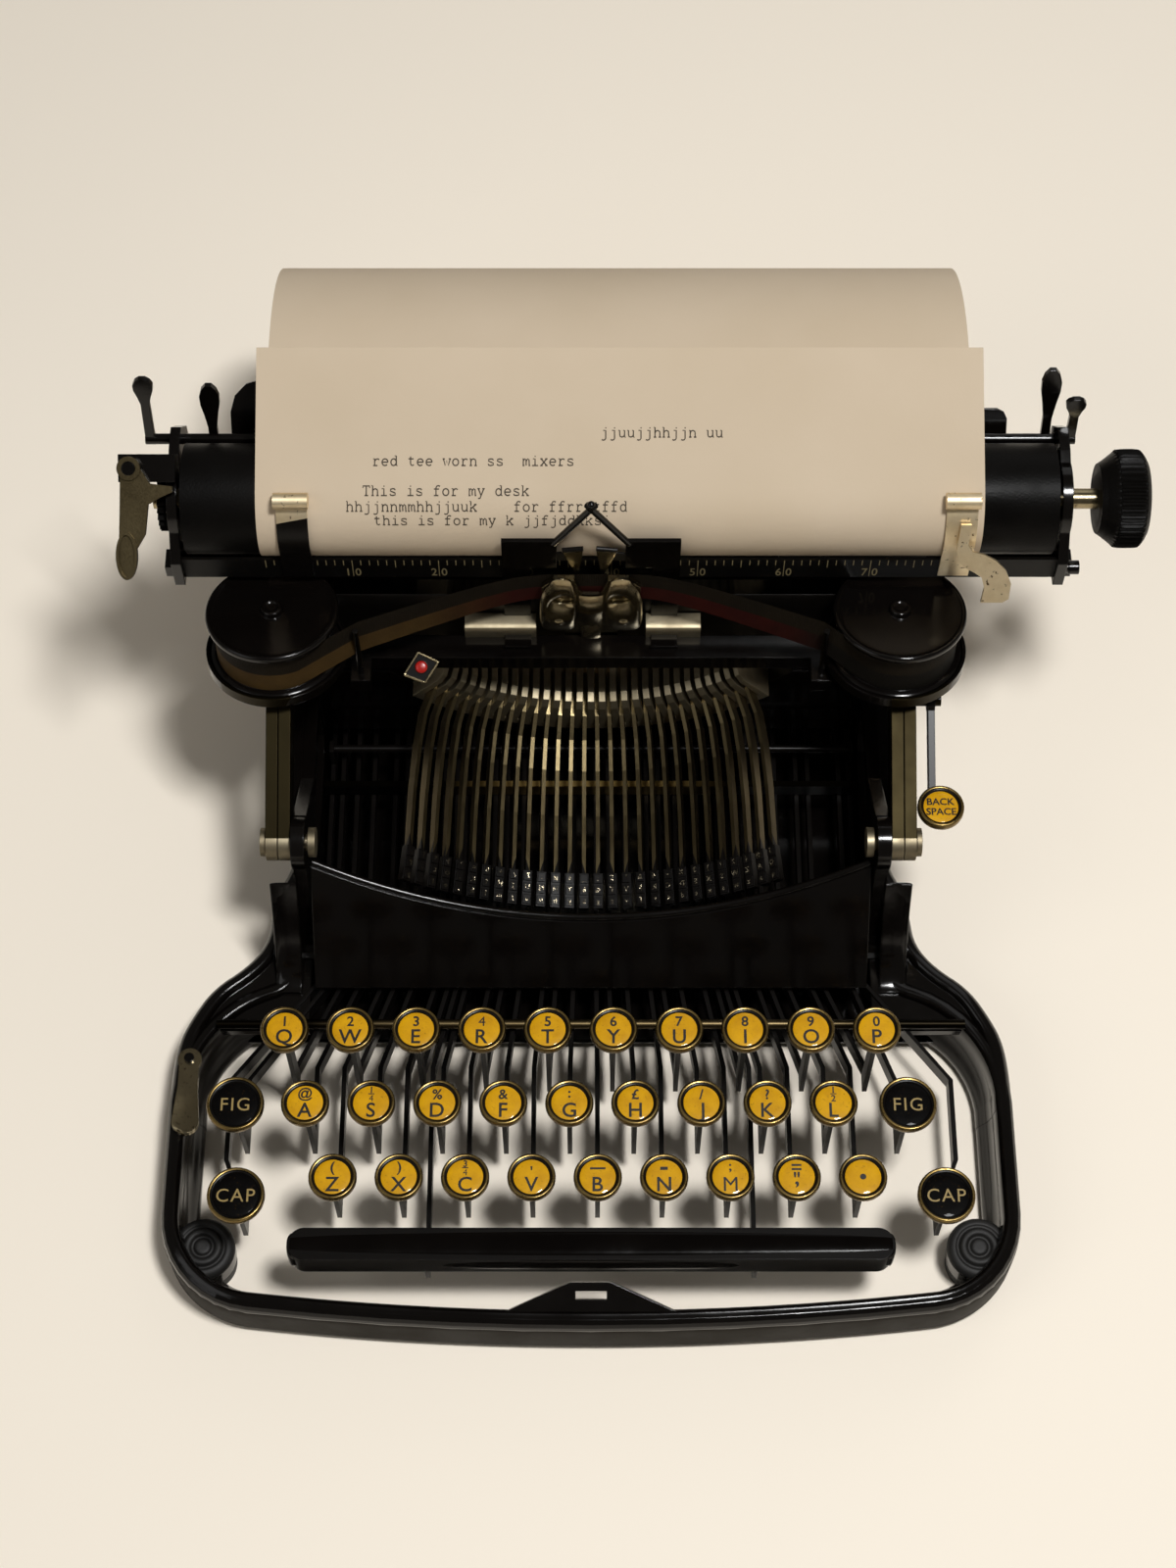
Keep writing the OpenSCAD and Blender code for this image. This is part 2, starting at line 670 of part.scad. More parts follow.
// Card holder in front of the platen: two wings on feet, and a bent wire rising to a point
card_y = print_y - 3.4;
card_t = 1.2;
wing = [10, 26];
wing_z = [print_z - 5, print_z + 9];
wire_r = 1;
wire_top = print_z + 27;
module card_holder() {
    wire_x = 11;
    wire_y = card_y + card_t / 2;
    rise = wire_top - wing_z[1];
    slant = atan2(wire_x, rise);
    leg_w = 8;
    leg_x = wing[1] - leg_w;
    color("#1b1a19") {
        both_sides() {
            translate([wing[0], card_y, wing_z[0]])
                cube([wing[1] - wing[0], card_t, wing_z[1] - wing_z[0]]);
            translate([leg_x, card_y, front_bar_z[1]])
                cube([leg_w, card_t, wing_z[0] - front_bar_z[1] + bite]);
            translate([leg_x, front_bar[1] - 5, front_bar_z[1]])
                cube([leg_w, card_y - front_bar[1] + 5 + card_t, 1.5]);
            translate([wire_x, wire_y, wing_z[1] - 2]) rotate([0, -slant, 0])
                cylinder(h = norm([wire_x, rise]) + 2.2, r = wire_r);
        }
        translate([0, wire_y, wire_top]) sphere(r = wire_r + 0.2);
    }
}

// The ribbon between the two posts: [x, y, z of its middle], from left to right
ribbon_t = 0.3;
ribbon_mid_y = card_y - 0.6;
ribbon_half = [[0, ribbon_mid_y, print_z - 14], [16.5, ribbon_mid_y, print_z - 14],
    [28, ribbon_mid_y - 2, print_z - 15], [48, post[1] + 8.5, print_z - 17.5],
    [post[0], post[1] + 1.6, print_z - 19], [72.5, post[1] + 0.2, print_z - 19.2]];
RIBBON = concat(
    [for (i = [len(ribbon_half) - 1:-1:1]) let (p = ribbon_half[i]) [-p[0], p[1], p[2]]], ribbon_half);
module ribbon() {
    n = len(RIBBON);
    corners = [[-1, -1], [1, -1], [1, 1], [-1, 1]];
    points = [for (p = RIBBON) for (c = corners)
        [p[0], p[1] + c[0] * ribbon_t / 2, p[2] + c[1] * ribbon_w / 2]];
    sides = [for (i = [0:n - 2]) for (k = [0:3]) let (j = (k + 1) % 4)
        [4 * i + k, 4 * i + j, 4 * i + 4 + j, 4 * i + 4 + k]];
    last = 4 * (n - 1);
    color("#3a3328")
        polyhedron(points, concat([[3, 2, 1, 0]], sides, [[last, last + 1, last + 2, last + 3]]));
}

// Fork that lifts the ribbon to the print point
vibrator_t = 2;
vibrator_y = ribbon_mid_y - 0.5;
module ribbon_vibrator() {
    color("#b9b4aa") translate([0, vibrator_y, 0]) rotate([90, 0, 0]) linear_extrude(vibrator_t)
    difference() {
        polygon([[-8, 78], [8, 78], [8, 88], [14.5, 94], [14.5, 108], [11, 112], [5, 112], [2.5, 103],
            [-2.5, 103], [-5, 112], [-11, 112], [-14.5, 108], [-14.5, 94], [-8, 88]]);
        translate([-8, 97]) circle(r = 1.6);
        translate([8, 97]) circle(r = 1.6);
    }
}

// A ribbon spool: cover with a rolled edge, the wound ribbon, a flange below
module spool(s) {
    r = spool_d / 2;
    pack = r - 2;
    bore = spindle_r + run_gap;
    color("#22211f") at_spool(s) rotate_extrude() polygon([[bore, -spool_h], [r, -spool_h],
        [r, -spool_h + 1], [pack, -spool_h + 1.5], [pack, -2.5], [r - 0.6, -2.2], [r, -1.6],
        [r, -0.6], [r - 0.6, 0], [r - 1.4, 0], [r - 2.2, -0.7], [5, -0.7], [4.5, 0.8], [3.6, 1.4],
        [bore, 1.4]]);
}
module spool_left() spool(-1);
module spool_right() spool(1);

// Bed that carries the carriage and rises with the shift
bed_front = rail_front_y - 0.7;
bed_back = rail_back_y + track_w + 0.5;
drum = [-50, (rail_front_y + track_w + rail_back_y) / 2];
drum_r = 15;
drum_h = 8;
axle_r = 2.5;
module rail_bed() {
    open_front = rail_front_y + track_w + 1;
    open_len = rail_back_y - 1 - open_front;
    color("#1d1c1a") {
        difference() {
            translate([-bed_x, bed_front, bed_top - bed_h]) cube([2 * bed_x, bed_back - bed_front, bed_h]);
            for (w = [[-80, drum[0] - 8], [drum[0] + 8, -4], [4, 80]])
                translate([w[0], open_front, bed_top - bed_h - 1]) cube([w[1] - w[0], open_len, bed_h + 2]);
            translate([drum[0], drum[1], bed_top - bed_h - 1])
                cylinder(h = bed_h + 2, r = axle_r + run_gap);
        }
        both_sides() translate([bed_x - bite, drum[1] - 5, bed_top - bed_h + 1])
            cube([arm_x - gap - bed_x + bite, 10, bed_h - 2]);
    }
}

// Drum of the mainspring that draws the carriage
module spring_drum() {
    top = bed_top - bed_h - 0.4;
    color("#3b3a37") {
        translate([drum[0], drum[1], top - drum_h]) cylinder(h = drum_h, r = drum_r);
        translate([drum[0], drum[1], top - 1]) cylinder(h = bed_h + 1, r = axle_r);
    }
}

// Carriage ends, the two slides that run on the bed, and the trough behind the platen
slide_z = bed_top + 0.5;
feed_r = 4;
feed_shaft_r = 1.5;
feed_angle = 262;
feed_d = paper_r + paper_t + gap + feed_r;
feed = [platen_y + feed_d * cos(feed_angle), platen_z + feed_d * sin(feed_angle)];
release = [platen_y + 18.5, platen_z + 4];
paper_release_at = [platen_y + 17, platen_z - 18];
release_r = 1.6;
end_left = [left_end - end_gap - end_t, left_end - end_gap];
end_right = [right_end + end_gap, right_end + end_gap + end_t];
lever_pivot = [left_end - 14.5, platen_y - 0.6, platen_z + 16.5];
lever_tilt = 36;
pivot_stud_r = 2;
lever_boss_r = 3.4;
stop_pin = [platen_y - 13, platen_z - 17];
module end_profile() {
    difference() {
        union() {
            polygon([[platen_y - 18.5, platen_z - 18], [platen_y - 7.2, platen_z - 20],
                [rail_front_y, slide_z], [rail_back_y + track_w, slide_z],
                [rail_back_y + track_w, slide_z + 8], [platen_y + 24, platen_z - 12],
                [platen_y + 24, platen_z + 3], [platen_y + 17, platen_z + 12],
                [platen_y + 9, platen_z + 12], [platen_y, platen_z + 9], [platen_y - 12, platen_z],
                [platen_y - 18.5, platen_z - 7]]);
            translate([platen_y, platen_z]) circle(r = 12);
        }
        translate([platen_y, platen_z]) circle(d = shaft_d + 2 * run_gap);
        translate(feed) circle(r = feed_shaft_r + run_gap);
        translate(release) circle(r = release_r + run_gap);
        translate(paper_release_at) circle(r = release_r + run_gap);
    }
}

module carriage_frame() {
    trough_in = paper_r + paper_t + 1;
    color("#1d1c1a") {
        along_x(end_left[0], end_left[1]) end_profile();
        along_x(end_right[0], end_right[1]) end_profile();
        for (y = [rail_front_y, rail_back_y])
            translate([carriage_x - track_len / 2, y, slide_z]) cube([track_len, track_w, track_h]);
        translate([0, platen_y, platen_z]) along_x(end_left[1] - 1, end_right[0] + 1)
            ring_profile(trough_in, trough_in + 1.2, 285, 312);
        translate(lever_pivot) rotate([lever_tilt, 0, 0]) {
            translate([-lever_boss_r, -4, -3.4]) cube([end_left[1] - lever_pivot[0] + lever_boss_r, 8, 3]);
            translate([end_left[0] - lever_pivot[0], -4, -6]) cube([end_t, 8, 5.6]);
            translate([0, 0, -1]) cylinder(h = 3.6, r = pivot_stud_r);
        }
        rod_x(end_right[1] - 1, end_right[1] + 3, 1.6, stop_pin[0], stop_pin[1]);
        rod_x(end_right[1] + 2, end_right[1] + 5, 2.1, stop_pin[0], stop_pin[1]);
    }
}

module platen_scale() {
    color("#151413") along_x(end_left[1], end_right[0]) translate([platen_y, platen_z])
        polygon([[scale_y + scale_t, -8], [scale_y, -7.6], [scale_y, -17], [scale_y + scale_t, -17.4]]);
}

// Sheet-metal table that turns the paper up behind the platen, on two bent legs
table_half = 106;
table_len = 13;
table_t = 1.2;
table_slope = 50;
wing_left = [[0, 0], [-10, 0], [-10, 22], [-8.5, 27], [-5, 30.5], [0, 32]];
wing_right = [[0, 0], [10, 0], [10, 20], [9, 22], [7, 23], [0, 23]];
module paper_table() {
    leg_z = slide_z + track_h;
    edge = table_half - bite;
    color("#1d1c1a") {
        translate([0, platen_y + 14.4, platen_z - 13.4]) rotate([table_slope, 0, 0])
        translate([0, 0, -table_t]) {
            translate([carriage_x - table_half, 0, 0]) cube([2 * table_half, table_len, table_t]);
            translate([carriage_x - edge, 0, 0]) linear_extrude(table_t) polygon(wing_left);
            translate([carriage_x + edge, 0, 0]) linear_extrude(table_t) polygon(wing_right);
        }
        for (s = [-1, 1])
            along_x(carriage_x + s * 60 - 6, carriage_x + s * 60 + 6)
                polygon([[rail_back_y + 0.2, leg_z], [rail_back_y + 5, leg_z],
                    [rail_back_y + 5, leg_z + 1.5], [rail_back_y + 2, leg_z + 1.5],
                    [platen_y + 22.3, platen_z - 4.7], [platen_y + 20.5, platen_z - 6.7],
                    [rail_back_y + 0.2, leg_z + 1.5]]);
    }
}

module feed_rollers() {
    color("#2b2927") {
        rod_x(end_left[0] + 0.5, end_right[1] - 0.5, feed_shaft_r, feed[0], feed[1]);
        for (s = [-1, 0, 1])
            rod_x(carriage_x + s * 70 - 22, carriage_x + s * 70 + 22, feed_r, feed[0], feed[1]);
    }
}

// The sheet, as (y, z) points about the platen's axis: top edge, round the platen, over and down behind
paper_mid = paper_r + paper_t / 2;
function round_platen(a) = paper_mid * [cos(a), sin(a)];
function bend(p, t) = let (u = 1 - t)
    u * u * u * p[0] + 3 * t * u * u * p[1] + 3 * t * t * u * p[2] + t * t * t * p[3];
tail_dir = [-sin(paper_on), cos(paper_on)];
over = [round_platen(paper_on), round_platen(paper_on) + 28 * tail_dir, [72, 16], [97, -15]];
down = [[97, -15], [111, -32.4], [124, -58], [126.5, -97 + 297 - paper_len]];
SHEET = concat(
    [for (t = [1, 0.5]) round_platen(paper_off) + t * paper_lead * [sin(paper_off), -cos(paper_off)]],
    [for (i = [0:20]) round_platen(paper_off + (360 + paper_on - paper_off) * i / 20)],
    [for (i = [1:10]) bend(over, i / 10)],
    [for (i = [1:8]) bend(down, i / 8)]);
function side_step(i) = let (d = SHEET[min(i + 1, len(SHEET) - 1)] - SHEET[max(i - 1, 0)])
    paper_t / 2 * [-d[1], d[0]] / norm(d);
module paper() {
    n = len(SHEET);
    color("#d9cfae") along_x(carriage_x - paper_w / 2, carriage_x + paper_w / 2)
        translate([platen_y, platen_z]) polygon(concat([for (i = [0:n - 1]) SHEET[i] + side_step(i)],
            [for (i = [n - 1:-1:0]) SHEET[i] - side_step(i)]));
}

// Rubber platen on its shaft, with a knurled knob on the right and a ratchet wheel on the left
knob_x = right_end + 27.2 - knob_w;
ratchet_r = 9.5;
module toothed(r, depth, n) {
    polygon([for (i = [0:2 * n - 1]) let (a = 180 * i / n)
        (i % 2 == 0 ? r : r - depth) * [cos(a), sin(a)]]);
}
module platen() {
    ratchet_x = end_left[0] - 3.2;
    color("#1a1918") {
        rod_x(left_end, right_end, platen_r, platen_y, platen_z);
        rod_x(ratchet_x - 2, knob_x + 2, shaft_d / 2, platen_y, platen_z);
        translate([0, platen_y, platen_z]) {
            along_x(ratchet_x, ratchet_x + 2.6) toothed(ratchet_r, 1.6, 24);
            along_x(knob_x + 5, knob_x + knob_w - 2) toothed(knob_d / 2, 0.7, knob_grooves);
            translate([knob_x, 0, 0]) rotate([0, 90, 0]) {
                cylinder(h = 5, r1 = knob_d / 2 - 4, r2 = knob_d / 2 - 0.8);
                translate([0, 0, knob_w - 2]) cylinder(h = 2, r1 = knob_d / 2 - 0.8, r2 = knob_d / 2 - 2.8);
            }
        }
    }
}

// Line-space lever: a plate on a stud at the left end, with an arm over the ratchet and a dished finger pad
pad = [-1.1, -25.2];
pad_r = [3.1, 6.9];
module line_space_lever() {
    color("#b9b4aa") translate(lever_pivot) rotate([lever_tilt, 0, 0]) difference() {
        union() {
            linear_extrude(1.5) polygon([[-2.5, 0], [3.2, 0], [6, -4.4], [12.4, -5.2], [12.4, -6.8],
                [8.8, -8.4], [5.4, -10.4], [4.4, -19], [1.4, -24], [-3.4, -24], [-2.9, -12]]);
            cylinder(h = 2.4, r = lever_boss_r);
            translate([pad[0], pad[1], 0]) scale([pad_r[0], pad_r[1], 1]) cylinder(h = 2.2, r = 1);
        }
        translate([0, 0, -1]) cylinder(h = 5, r = pivot_stud_r + run_gap);
        translate([pad[0], pad[1], 1.2]) scale([pad_r[0] - 0.8, pad_r[1] - 0.8, 1]) cylinder(h = 2, r = 1);
    }
}

// A finger lever on a rod: a strip that narrows from the rod and swells to a spoon. Its outline is given
// as [share of its length, half width].
spoon_outline = [[-0.06, 1.4], [0.6, 1.3], [0.72, 2], [0.82, 2.8], [0.9, 2.9], [0.96, 2.2], [1, 0.9]];
spoon_t = 1.8;
module spoon(x, from, to) {
    d = to - from;
    n = len(spoon_outline);
    translate([x, from[0], from[1]]) rotate([atan2(d[1], d[0]), 0, 0]) translate([0, 0, -spoon_t / 2])
        linear_extrude(spoon_t) polygon(concat(
            [for (p = spoon_outline) [p[1], p[0] * norm(d)]],
            [for (i = [n - 1:-1:0]) let (p = spoon_outline[i]) [-p[1], p[0] * norm(d)]]));
}

module carriage_release() {
    left = end_left[0] - 7;
    right = end_right[1] + 1.7;
    color("#1b1a19") {
        rod_x(left - 1.5, right + 1.5, release_r, release[0], release[1]);
        spoon(left, release, release + [5.5, 22.5]);
        spoon(right, release, release + [3, 16]);
    }
}

module paper_release() {
    color("#1b1a19") {
        rod_x(end_left[0] + 0.5, end_right[1] - 0.5, release_r, paper_release_at[0], paper_release_at[1]);
        spoon(left_end + 6.5, paper_release_at, paper_release_at + [10.5, 36.5]);
        spoon(right_end - 0.2, paper_release_at, paper_release_at + [13.5, 40]);
    }
}

// Paper fingers: spring strips up the front of the platen with a small roller; the right one has a bent arm
finger_x = [carriage_x - 94.5, carriage_x + 98.5];
finger_w = 9;
finger_top = 126;
finger_foot = 192;
finger_arm_t = 1;
module finger(x) {
    roller = finger_in + 2.6;
    out = finger_in + finger_t;
    translate([0, platen_y, platen_z]) along_x(x - finger_w / 2, x + finger_w / 2) {
        ring_profile(finger_in, out, finger_top, finger_foot);
        polygon([finger_in * [cos(finger_foot), sin(finger_foot)],
            out * [cos(finger_foot), sin(finger_foot)], [scale_y - 0.8, -10], [scale_y - 0.8, -15],
            [scale_y - gap, -15], [scale_y - gap, -10]]);
    }
    rod_x(x - finger_w / 2 - 0.5, x + finger_w / 2 + 0.5, 2.4,
        platen_y + roller * cos(finger_top), platen_z + roller * sin(finger_top));
}

module finger_arm() {
    translate([finger_x[1] + 2.5, platen_y - 16.6, platen_z + 8.6]) rotate([60, 0, 0])
        linear_extrude(finger_arm_t)
            polygon([[-2.9, 2], [0.1, 2], [-0.4, -4.6], [1, -6.7], [4.5, -7.6], [8, -9.5], [11.1, -12.7],
                [12.9, -17], [12.6, -22], [10.8, -23.2], [4.5, -23.2], [5.2, -18.5], [4.2, -15], [2, -13.4],
                [-0.9, -11.8], [-2.8, -9.8], [-3.6, -6]]);
}

module paper_fingers() {
    color("#b9b4aa") {
        for (x = finger_x) finger(x);
        finger_arm();
    }
}

placed() base_frame();
placed() front_panel();
placed() rubber_feet();
placed() type_segment();
placed() typebars();
placed() fulcrum_rod();
placed() lever_comb();
placed() universal_bar();
placed() upper_frame();
placed() hinge_pins();
placed() card_holder();
placed() ribbon();
placed() rail_bed();
placed() spring_drum();
placed() carriage_frame();
placed() platen_scale();
placed() paper_table();
placed() feed_rollers();
placed() paper();
placed() platen();
placed() line_space_lever();
placed() carriage_release();
placed() paper_release();
placed() paper_fingers();
placed() spool_left();
placed() spool_right();
placed() ribbon_vibrator();
for (k = KEYS) placed() letter_key(k);
placed() space_bar();
placed() fig_shift_keys();
placed() cap_shift_keys();
placed() backspace_key();
placed() shift_lock();
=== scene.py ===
import math

import bpy
import numpy as np
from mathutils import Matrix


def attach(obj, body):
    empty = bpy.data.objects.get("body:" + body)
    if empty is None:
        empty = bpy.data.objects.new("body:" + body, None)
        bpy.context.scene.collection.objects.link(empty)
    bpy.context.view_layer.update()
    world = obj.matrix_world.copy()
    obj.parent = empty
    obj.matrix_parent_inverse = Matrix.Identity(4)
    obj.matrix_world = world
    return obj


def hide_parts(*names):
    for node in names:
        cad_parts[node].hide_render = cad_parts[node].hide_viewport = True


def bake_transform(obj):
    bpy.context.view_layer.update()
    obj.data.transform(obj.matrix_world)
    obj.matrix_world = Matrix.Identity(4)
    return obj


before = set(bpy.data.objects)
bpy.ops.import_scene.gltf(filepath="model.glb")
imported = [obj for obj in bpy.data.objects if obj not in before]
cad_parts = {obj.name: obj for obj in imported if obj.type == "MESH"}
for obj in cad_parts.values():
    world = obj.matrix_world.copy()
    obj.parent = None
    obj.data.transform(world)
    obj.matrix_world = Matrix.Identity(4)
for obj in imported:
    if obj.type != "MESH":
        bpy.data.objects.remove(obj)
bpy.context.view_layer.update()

# Base casting
# The keys stand in one iron casting: a rail bowed round the keyboard and drawn in to a neck, with upright
# side plates behind. It was dipped in black japan and baked, which leaves a deep gloss with a faint ripple.
ORIGIN = np.array([12.6, 56.1, 0.0])  # the row's origin in the machine's own millimetres


def linear(code):
    """sRGB hex to linear colour, by the standard curve on each channel."""
    c = np.array([int(code[i:i + 2], 16) for i in (1, 3, 5)]) / 255
    return (*np.where(c <= 0.04045, c / 12.92, ((c + 0.055) / 1.055) ** 2.4), 1.0)


def add(tree, kind, inputs=None, **settings):
    """One shader node: settings are its properties, inputs its sockets' values or sockets joined to them."""
    made = tree.nodes.new(kind)
    for key, value in settings.items():
        setattr(made, key, value)
    for key, value in (inputs or {}).items():
        if isinstance(value, bpy.types.NodeSocket):
            tree.links.new(value, made.inputs[key])
        else:
            made.inputs[key].default_value = value
    return made.outputs


def finish(name):
    """An empty node material and its tree."""
    made = bpy.data.materials.new(name)
    made.use_nodes = True
    made.node_tree.nodes.clear()
    return made, made.node_tree


def mottled(name, tones, scale, detail=2.0, broken=0.5, rough=0.5, specks=None, relief=None, edge=0.0,
            shader=None):
    """A finish in patches of two tones, scale of them to the metre. rough is one value, or (from, to, least,
    most) over the patches; specks are (scale, detail, from, to, tone), relief (scale, detail, strength,
    depth)."""
    made, t = finish(name)
    at = add(t, "ShaderNodeTexCoord")["Object"]
    patch = add(t, "ShaderNodeTexNoise", {"Vector": at, "Scale": scale, "Detail": detail,
                                          "Roughness": broken})["Fac"]
    tone = add(t, "ShaderNodeMix", {0: patch, 6: linear(tones[0]), 7: linear(tones[1])}, data_type="RGBA")[2]
    if specks:
        fine, layers, low, high, colour = specks
        speck = add(t, "ShaderNodeTexNoise", {"Vector": at, "Scale": fine, "Detail": layers})["Fac"]
        spot = add(t, "ShaderNodeMapRange", {"Value": speck, "From Min": low, "From Max": high})["Result"]
        tone = add(t, "ShaderNodeMix", {0: spot, 6: tone, 7: linear(colour)}, data_type="RGBA")[2]
    look = {"Base Color": tone, "Roughness": rough, **(shader or {})}
    if isinstance(rough, tuple):
        low, high, least, most = rough
        look["Roughness"] = add(t, "ShaderNodeMapRange", {"Value": patch, "From Min": low, "From Max": high,
                                                          "To Min": least, "To Max": most})["Result"]
    if edge:
        look["Normal"] = add(t, "ShaderNodeBevel", {"Radius": edge}, samples=4)["Normal"]
    if relief:
        fine, layers, strength, depth = relief
        grain = add(t, "ShaderNodeTexNoise", {"Vector": at, "Scale": fine, "Detail": layers})["Fac"]
        bump = {"Strength": strength, "Distance": depth, "Height": grain}
        if edge:
            bump["Normal"] = look["Normal"]
        look["Normal"] = add(t, "ShaderNodeBump", bump)["Normal"]
    add(t, "ShaderNodeOutputMaterial", {"Surface": add(t, "ShaderNodeBsdfPrincipled", look)["BSDF"]})
    return made


def enamel(name, dark, brown, smooth, rough, gloss):
    """Baked asphalt varnish of a given gloss: dark to brown in rubbed patches, with ripples 3 mm wide."""
    return mottled(name, (dark, brown), 45, 5.0, 0.65, rough=(0.35, 0.75, smooth, rough), edge=0.0005,
                   relief=(330, 3.0, 0.05, 0.0004), shader={"IOR": 1.48, "Specular IOR Level": gloss})


def spread(x, y, z):
    """Points from three coordinates, each stretched over the rows and columns of the others."""
    return np.stack(np.broadcast_arrays(x, y, z), -1)


def grid(rows, cols, round_rows=False, round_cols=False):
    """Faces of a grid of points: each joins a point to its neighbours along both parameters."""
    r = np.arange(rows if round_rows else rows - 1)[:, None]
    c = np.arange(cols if round_cols else cols - 1)[None, :]
    r, c = np.broadcast_arrays(r, c)
    r2, c2 = (r + 1) % rows, (c + 1) % cols
    return np.stack([r * cols + c, r * cols + c2, r2 * cols + c2, r2 * cols + c], -1).reshape(-1, 4)


def capped(skin):
    """Points and faces of a skin of rings, shut at both ends by a ring drawn together to its middle."""
    ends = skin[[0, -1]].mean(1, keepdims=True).repeat(skin.shape[1], 1)
    skin = np.concatenate([ends[:1], skin, ends[1:]])
    return skin, grid(len(skin), skin.shape[1], round_cols=True)


def outward(points, faces):
    """Turns the faces round if the volume that they shut in, summed from their corners, is negative."""
    p = points - points.mean(0)
    a, b, c, d = (p[faces[:, i]] for i in range(4))
    volume = np.einsum("ij,ij->", a, np.cross(b, c)) + np.einsum("ij,ij->", a, np.cross(c, d))
    return faces if volume >= 0 else faces[:, ::-1]


def piece(name, body, parts, stands_for=(), crease=40):
    """One object from parts (points in machine mm, faces, finish), joined and moved to the row's frame."""
    spots, faces, marks, finishes, start = [], [], [], [], 0
    for points, corners, coat in parts:
        points = np.asarray(points, float).reshape(-1, 3)
        if coat not in finishes:
            finishes.append(coat)
        if isinstance(corners, np.ndarray):
            corners = outward(points, corners)
            faces += (corners + start).tolist()
        else:
            faces += [[v + start for v in f] for f in corners]
        marks += [finishes.index(coat)] * len(corners)
        spots.append((points - ORIGIN) / 1000)
        start += len(points)
    mesh = bpy.data.meshes.new(name)
    mesh.from_pydata(np.concatenate(spots).tolist(), [], faces)
    for coat in finishes:
        mesh.materials.append(coat)
    mesh.polygons.foreach_set("material_index", np.array(marks, np.int32))
    mesh.polygons.foreach_set("use_smooth", np.ones(len(faces), bool))
    mesh.validate()
    mesh.set_sharp_from_angle(angle=math.radians(crease))
    made = bpy.data.objects.new(name, mesh)
    bpy.context.scene.collection.objects.link(made)
    if body:
        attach(made, body)
    if stands_for:
        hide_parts(*stands_for)
    return made


def dress(node, *coats, pick=None):
    """Gives a CAD node its finishes; pick sorts its faces into them by their middles, in machine mm."""
    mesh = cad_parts[node].data
    mesh.materials.clear()
    for coat in coats:
        mesh.materials.append(coat)
    marks = np.zeros(len(mesh.polygons), np.int32)
    if pick:
        middle = np.zeros(len(mesh.polygons) * 3)
        mesh.polygons.foreach_get("center", middle)
        marks = np.asarray(pick(middle.reshape(-1, 3) * 1000 + ORIGIN), np.int32)
    mesh.polygons.foreach_set("material_index", marks)


def softened(points, times=2, closed=False):
    """Corner cutting: each side of the line gives two points, a quarter in from its ends."""
    p = np.asarray(points, float)
    for _ in range(times):
        nxt = np.roll(p, -1, 0) if closed else p[1:]
        cur = p if closed else p[:-1]
        cut = np.stack([0.75 * cur + 0.25 * nxt, 0.25 * cur + 0.75 * nxt], 1).reshape(-1, p.shape[1])
        p = cut if closed else np.concatenate([p[:1], cut, p[-1:]])
    return p


# Baked black japan: brown-black and deep, but olive and satin on the outside of the rail, which hands rub,
# and there the dim sheen of the table is painted into the olive tone, its own reflection turned nearly off
japan = enamel("black_japan_baked_enamel", "#040303", "#0b0806", 0.1, 0.22, 0.33)
worn_japan_painted_sheen = enamel("black_japan_rubbed_painted_sheen", "#120e07", "#1f190d", 0.42, 0.58, 0.05)

base_w, base_front, base_back, rail_w, rail_z = 254.0, -117.0, 108.0, 9.3, 3.0
half = rail_w / 2
rail_x, corner_r, bulge_r = base_w / 2 - half, 30 - half, 900.0
straight, shoulder_r, neck_r, shoulder_turn = 35.0, 36.0, 12.0, math.radians(72)
front_turn = math.asin((rail_x - corner_r) / (bulge_r - corner_r))
corner_turn = math.pi / 2 - front_turn
shoulder_y = (base_front + half + bulge_r * (1 - math.cos(front_turn)) + corner_r * math.cos(front_turn)
              + straight)
neck_y = shoulder_y + (shoulder_r + neck_r) * math.sin(shoulder_turn)
# length, left turn and steps of each stretch, from the middle of the front to the back of the neck
stretches = np.array([[bulge_r * front_turn, front_turn, 30], [corner_r * corner_turn, corner_turn, 36],
                      [straight, 0, 10], [shoulder_r * shoulder_turn, shoulder_turn, 36],
                      [neck_r * shoulder_turn, -shoulder_turn, 24], [base_back - neck_y, 0, 20]])


def bow_course():
    """The rail's middle line on the right: arcs stepped through by chords, as x, y and heading."""
    steps = stretches[:, 2].astype(int)
    ds = np.repeat(stretches[:, 0] / steps, steps)
    dh = np.repeat(stretches[:, 1] / steps, steps)
    mid = np.cumsum(dh) - dh / 2
    chord = ds * np.sinc(dh / 2 / math.pi)
    x = np.concatenate([[0], np.cumsum(chord * np.cos(mid))])
    y = np.concatenate([[0], np.cumsum(chord * np.sin(mid))]) + base_front + half
    return x, y, np.concatenate([[0], np.cumsum(dh)])


def bowed(section):
    """A section (inwards, up) carried along the whole bow, left end to right end."""
    x, y, h = (v[:, None] for v in bow_course())
    right = spread(x - section[:, 0] * np.sin(h), y + section[:, 0] * np.cos(h), rail_z + section[:, 1])
    return np.concatenate([right[:0:-1] * [-1, 1, 1], right])


wall = np.array([[-half - 0.2, 0.1], [-half - 0.2, 9], [-half - 0.1, 14.2], [-half + 1.2, 17.2],
                 [-half + 3.6, 18.3], [-0.2, 18.2], [1.1, 16.8], [1.5, 8.2], [half + 0.2, 2.8],
                 [half + 0.2, 0.1]])
wall = np.concatenate([softened(wall, 3), [[half + 0.2, 0.1], [-half - 0.2, 0.1]]])
rail, rail_faces = capped(bowed(wall))
rail_piece = piece("base_rail", "base", [(rail, rail_faces, japan)])
rail_piece.data.materials.append(worn_japan_painted_sheen)
# the outside of the rail low down: the olive copy with the painted sheen
outside = (wall[:, 0] < 0.3 - half) & (wall[:, 1] < 15)
rail_piece.data.polygons.foreach_set("material_index", np.tile(outside, len(rail) - 1).astype(np.int32))
dress("base_frame", japan)

